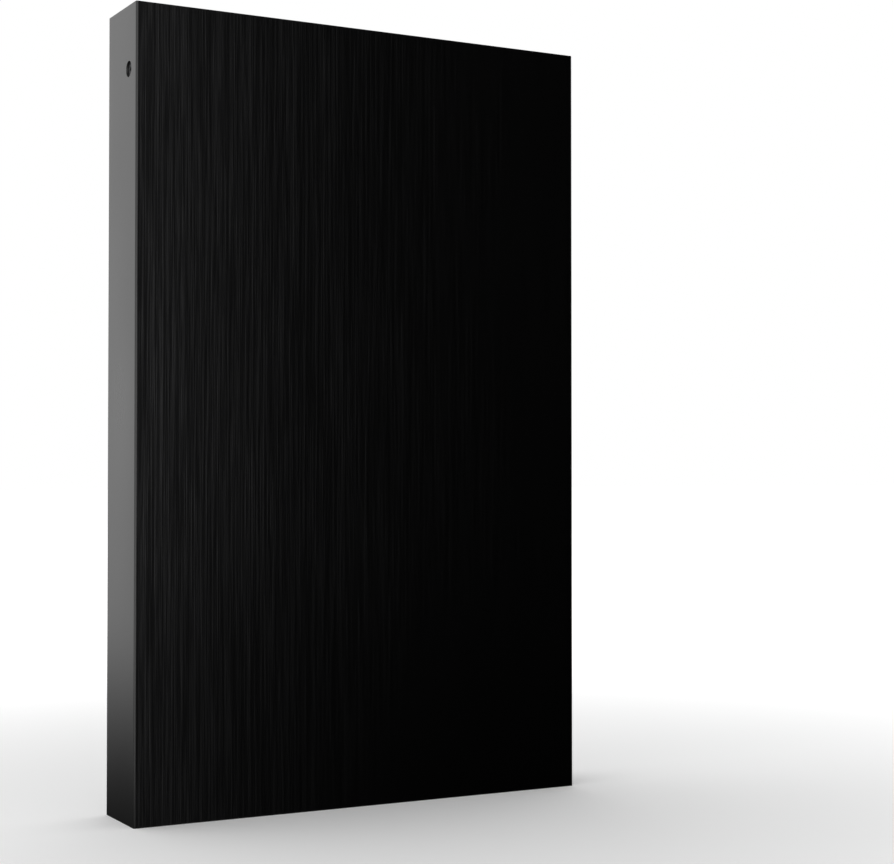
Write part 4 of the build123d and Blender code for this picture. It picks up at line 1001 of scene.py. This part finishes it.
finish(
    "coil_winding", wave("RINGS", "Y", wire_pitch, coil_axis),
    (0.42, 0.18, 0.08), (0.78, 0.42, 0.22), 0.22, 0.34, 0.03 * mm, 0.9,
)
finish(
    "bright_nickel", speckle(6000.0),
    (0.52, 0.52, 0.53), (0.64, 0.64, 0.66), 0.16, 0.28, 0.003 * mm, 1.0,
)
print("spindle axis", [round(value / mm, 2) for value in spindle_axis], "mm")

# %% [markdown]
# ## Boards, chips and small parts
# The drive's own board has a green mask and the bridge board a blue one, both with straight copper
# runs that show through as paler lines. Chips are dull moulded resin, the inductor is pressed
# ferrite, and each capacitor is fired clay with a tinned cap at either end. The cap is found by
# how far a point lies from the capacitor's middle.

# %% Make the finishes of the boards
trace_pitch = 0.6 * mm
cap_start = 0.5 * mm
cap_blur = 0.02 * mm

finish(
    "green_mask", traces(5.5 * mm, trace_pitch),
    (0.016, 0.085, 0.05), (0.04, 0.17, 0.1), 0.24, 0.34, 0.02 * mm,
)
finish(
    "blue_mask", traces(4.0 * mm, trace_pitch),
    (0.015, 0.038, 0.105), (0.035, 0.085, 0.2), 0.24, 0.34, 0.02 * mm,
)
finish(
    "chip_moulding", speckle(6500.0),
    (0.018, 0.018, 0.02), (0.036, 0.036, 0.038), 0.5, 0.64, 0.01 * mm,
)
finish(
    "pressed_ferrite", speckle(3800.0),
    (0.07, 0.07, 0.078), (0.14, 0.14, 0.15), 0.55, 0.7, 0.02 * mm,
)
finish(
    "lapped_ceramic", speckle(9000.0),
    (0.085, 0.085, 0.095), (0.14, 0.14, 0.15), 0.16, 0.28, 0.002 * mm,
)


def capped_clay():
    """Fired clay with a tinned cap at both ends of each capacitor."""
    low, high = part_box("capacitors")
    material, shader = start_finish("capped_clay", (0.5, 0.38, 0.26), 0.5)
    parts = add_node(material, "ShaderNodeSeparateXYZ", {})
    place = mapped_place(material, shift=(-(low.x + high.x) / 2, 0.0, 0.0))
    wire(material, place, parts.inputs["Vector"])
    reach = add_node(material, "ShaderNodeMath", {})
    reach.operation = "ABSOLUTE"
    wire(material, parts.outputs["X"], reach.inputs[0])
    cap = spread(
        material, reach.outputs["Value"], 0.0, 1.0, cap_start - cap_blur, cap_start + cap_blur
    )
    colour = two_colours(material, cap, (0.5, 0.38, 0.26), (0.66, 0.65, 0.62))
    wire(material, colour, shader.inputs["Base Color"])
    wire(material, cap, shader.inputs["Metallic"])
    dust = grain(material, (7000.0, 7000.0, 7000.0))
    wire(material, spread(material, dust, 0.36, 0.56), shader.inputs["Roughness"])
    relief(material, shader, dust, 0.006 * mm)
    return material


finishes["capped_clay"] = capped_clay()
print("boards and small parts have", len(finishes), "finishes so far")

# %% [markdown]
# ## Plastics, rubber, film and cloth
# What is left is soft or moulded: rubber bumpers and the cover's gasket, the off-white ramp that
# parks the heads, the amber film of the flexible circuit with copper runs along it, felt in
# the two filters, and the lamp's milky resin over its phosphor.

# %% Make the softer finishes
run_pitch = 0.4 * mm
finish(
    "moulded_rubber", speckle(2600.0),
    (0.02, 0.02, 0.02), (0.04, 0.04, 0.04), 0.66, 0.82, 0.03 * mm,
)
finish(
    "ramp_white", speckle(1600.0),
    (0.68, 0.66, 0.57), (0.76, 0.74, 0.66), 0.32, 0.44, 0.006 * mm,
)
finish(
    "amber_film", wave("BANDS", "Y", run_pitch),
    (0.5, 0.22, 0.035), (0.74, 0.42, 0.1), 0.18, 0.3, 0.02 * mm,
)
finish("filter_felt", fibres(3600.0), (0.66, 0.66, 0.63), (0.9, 0.9, 0.88), 0.85, 0.97, 0.08 * mm)
finish(
    "phosphor_resin", speckle(2200.0),
    (0.8, 0.8, 0.6), (0.9, 0.91, 0.84), 0.12, 0.24, 0.006 * mm,
)
print("made", len(finishes), "finishes")

# %% [markdown]
# ## Dressing the other pieces
# Every CAD piece that stays gets its finish in its own material slot. The mesh itself is left
# alone. The table below reads like a parts list: a finish, and the pieces that wear it.

# %% Dress the pieces
wearers = {
    "black_insulator": ("port_insulator", "drive_plug", "drive_socket", "flex_bracket"),
    "gold_flash": ("port_contacts", "drive_plug_contacts", "drive_socket_contacts"),
    "rolled_steel": ("drive_cover", "lower_yoke", "upper_yoke", "suspensions", "crystal"),
    "cast_alloy": ("drive_base",),
    "turned_hub": ("spindle_hub", "disk_clamp"),
    "milled_arms": ("actuator_block",),
    "mirror_coat": ("platter",),
    "ground_pivot": ("pivot_bearing", "pivot_shaft"),
    "ground_spindle": ("bearing_sleeve",),
    "blued_sheets": ("stator_core",),
    "nickel_magnet": ("rotor_magnet", "voice_coil_magnet"),
    "stator_winding": ("stator_coils",),
    "coil_winding": ("voice_coil",),
    "bright_nickel": (
        "cover_screws", "clamp_screw", "ramp_screw", "board_screws", "drive_board_screws",
    ),
    "green_mask": ("drive_board",),
    "blue_mask": ("bridge_board",),
    "chip_moulding": ("controller_chip", "memory_chip", "motor_driver_chip", "bridge_chip"),
    "pressed_ferrite": ("inductor",),
    "lapped_ceramic": ("sliders",),
    "capped_clay": ("capacitors",),
    "moulded_rubber": ("end_bumper", "cover_gasket", "crash_stops"),
    "ramp_white": ("head_ramp", "coil_holder"),
    "amber_film": ("flex_ribbon",),
    "filter_felt": ("breather_filter", "recirculation_filter"),
    "phosphor_resin": ("status_lamp",),
}
for name, nodes in wearers.items():
    for node in nodes:
        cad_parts[node].material_slots[0].material = finishes[name]
dressed = sum(len(nodes) for nodes in wearers.values())
print(dressed, "pieces dressed and", len(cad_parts) - dressed, "modelled again")
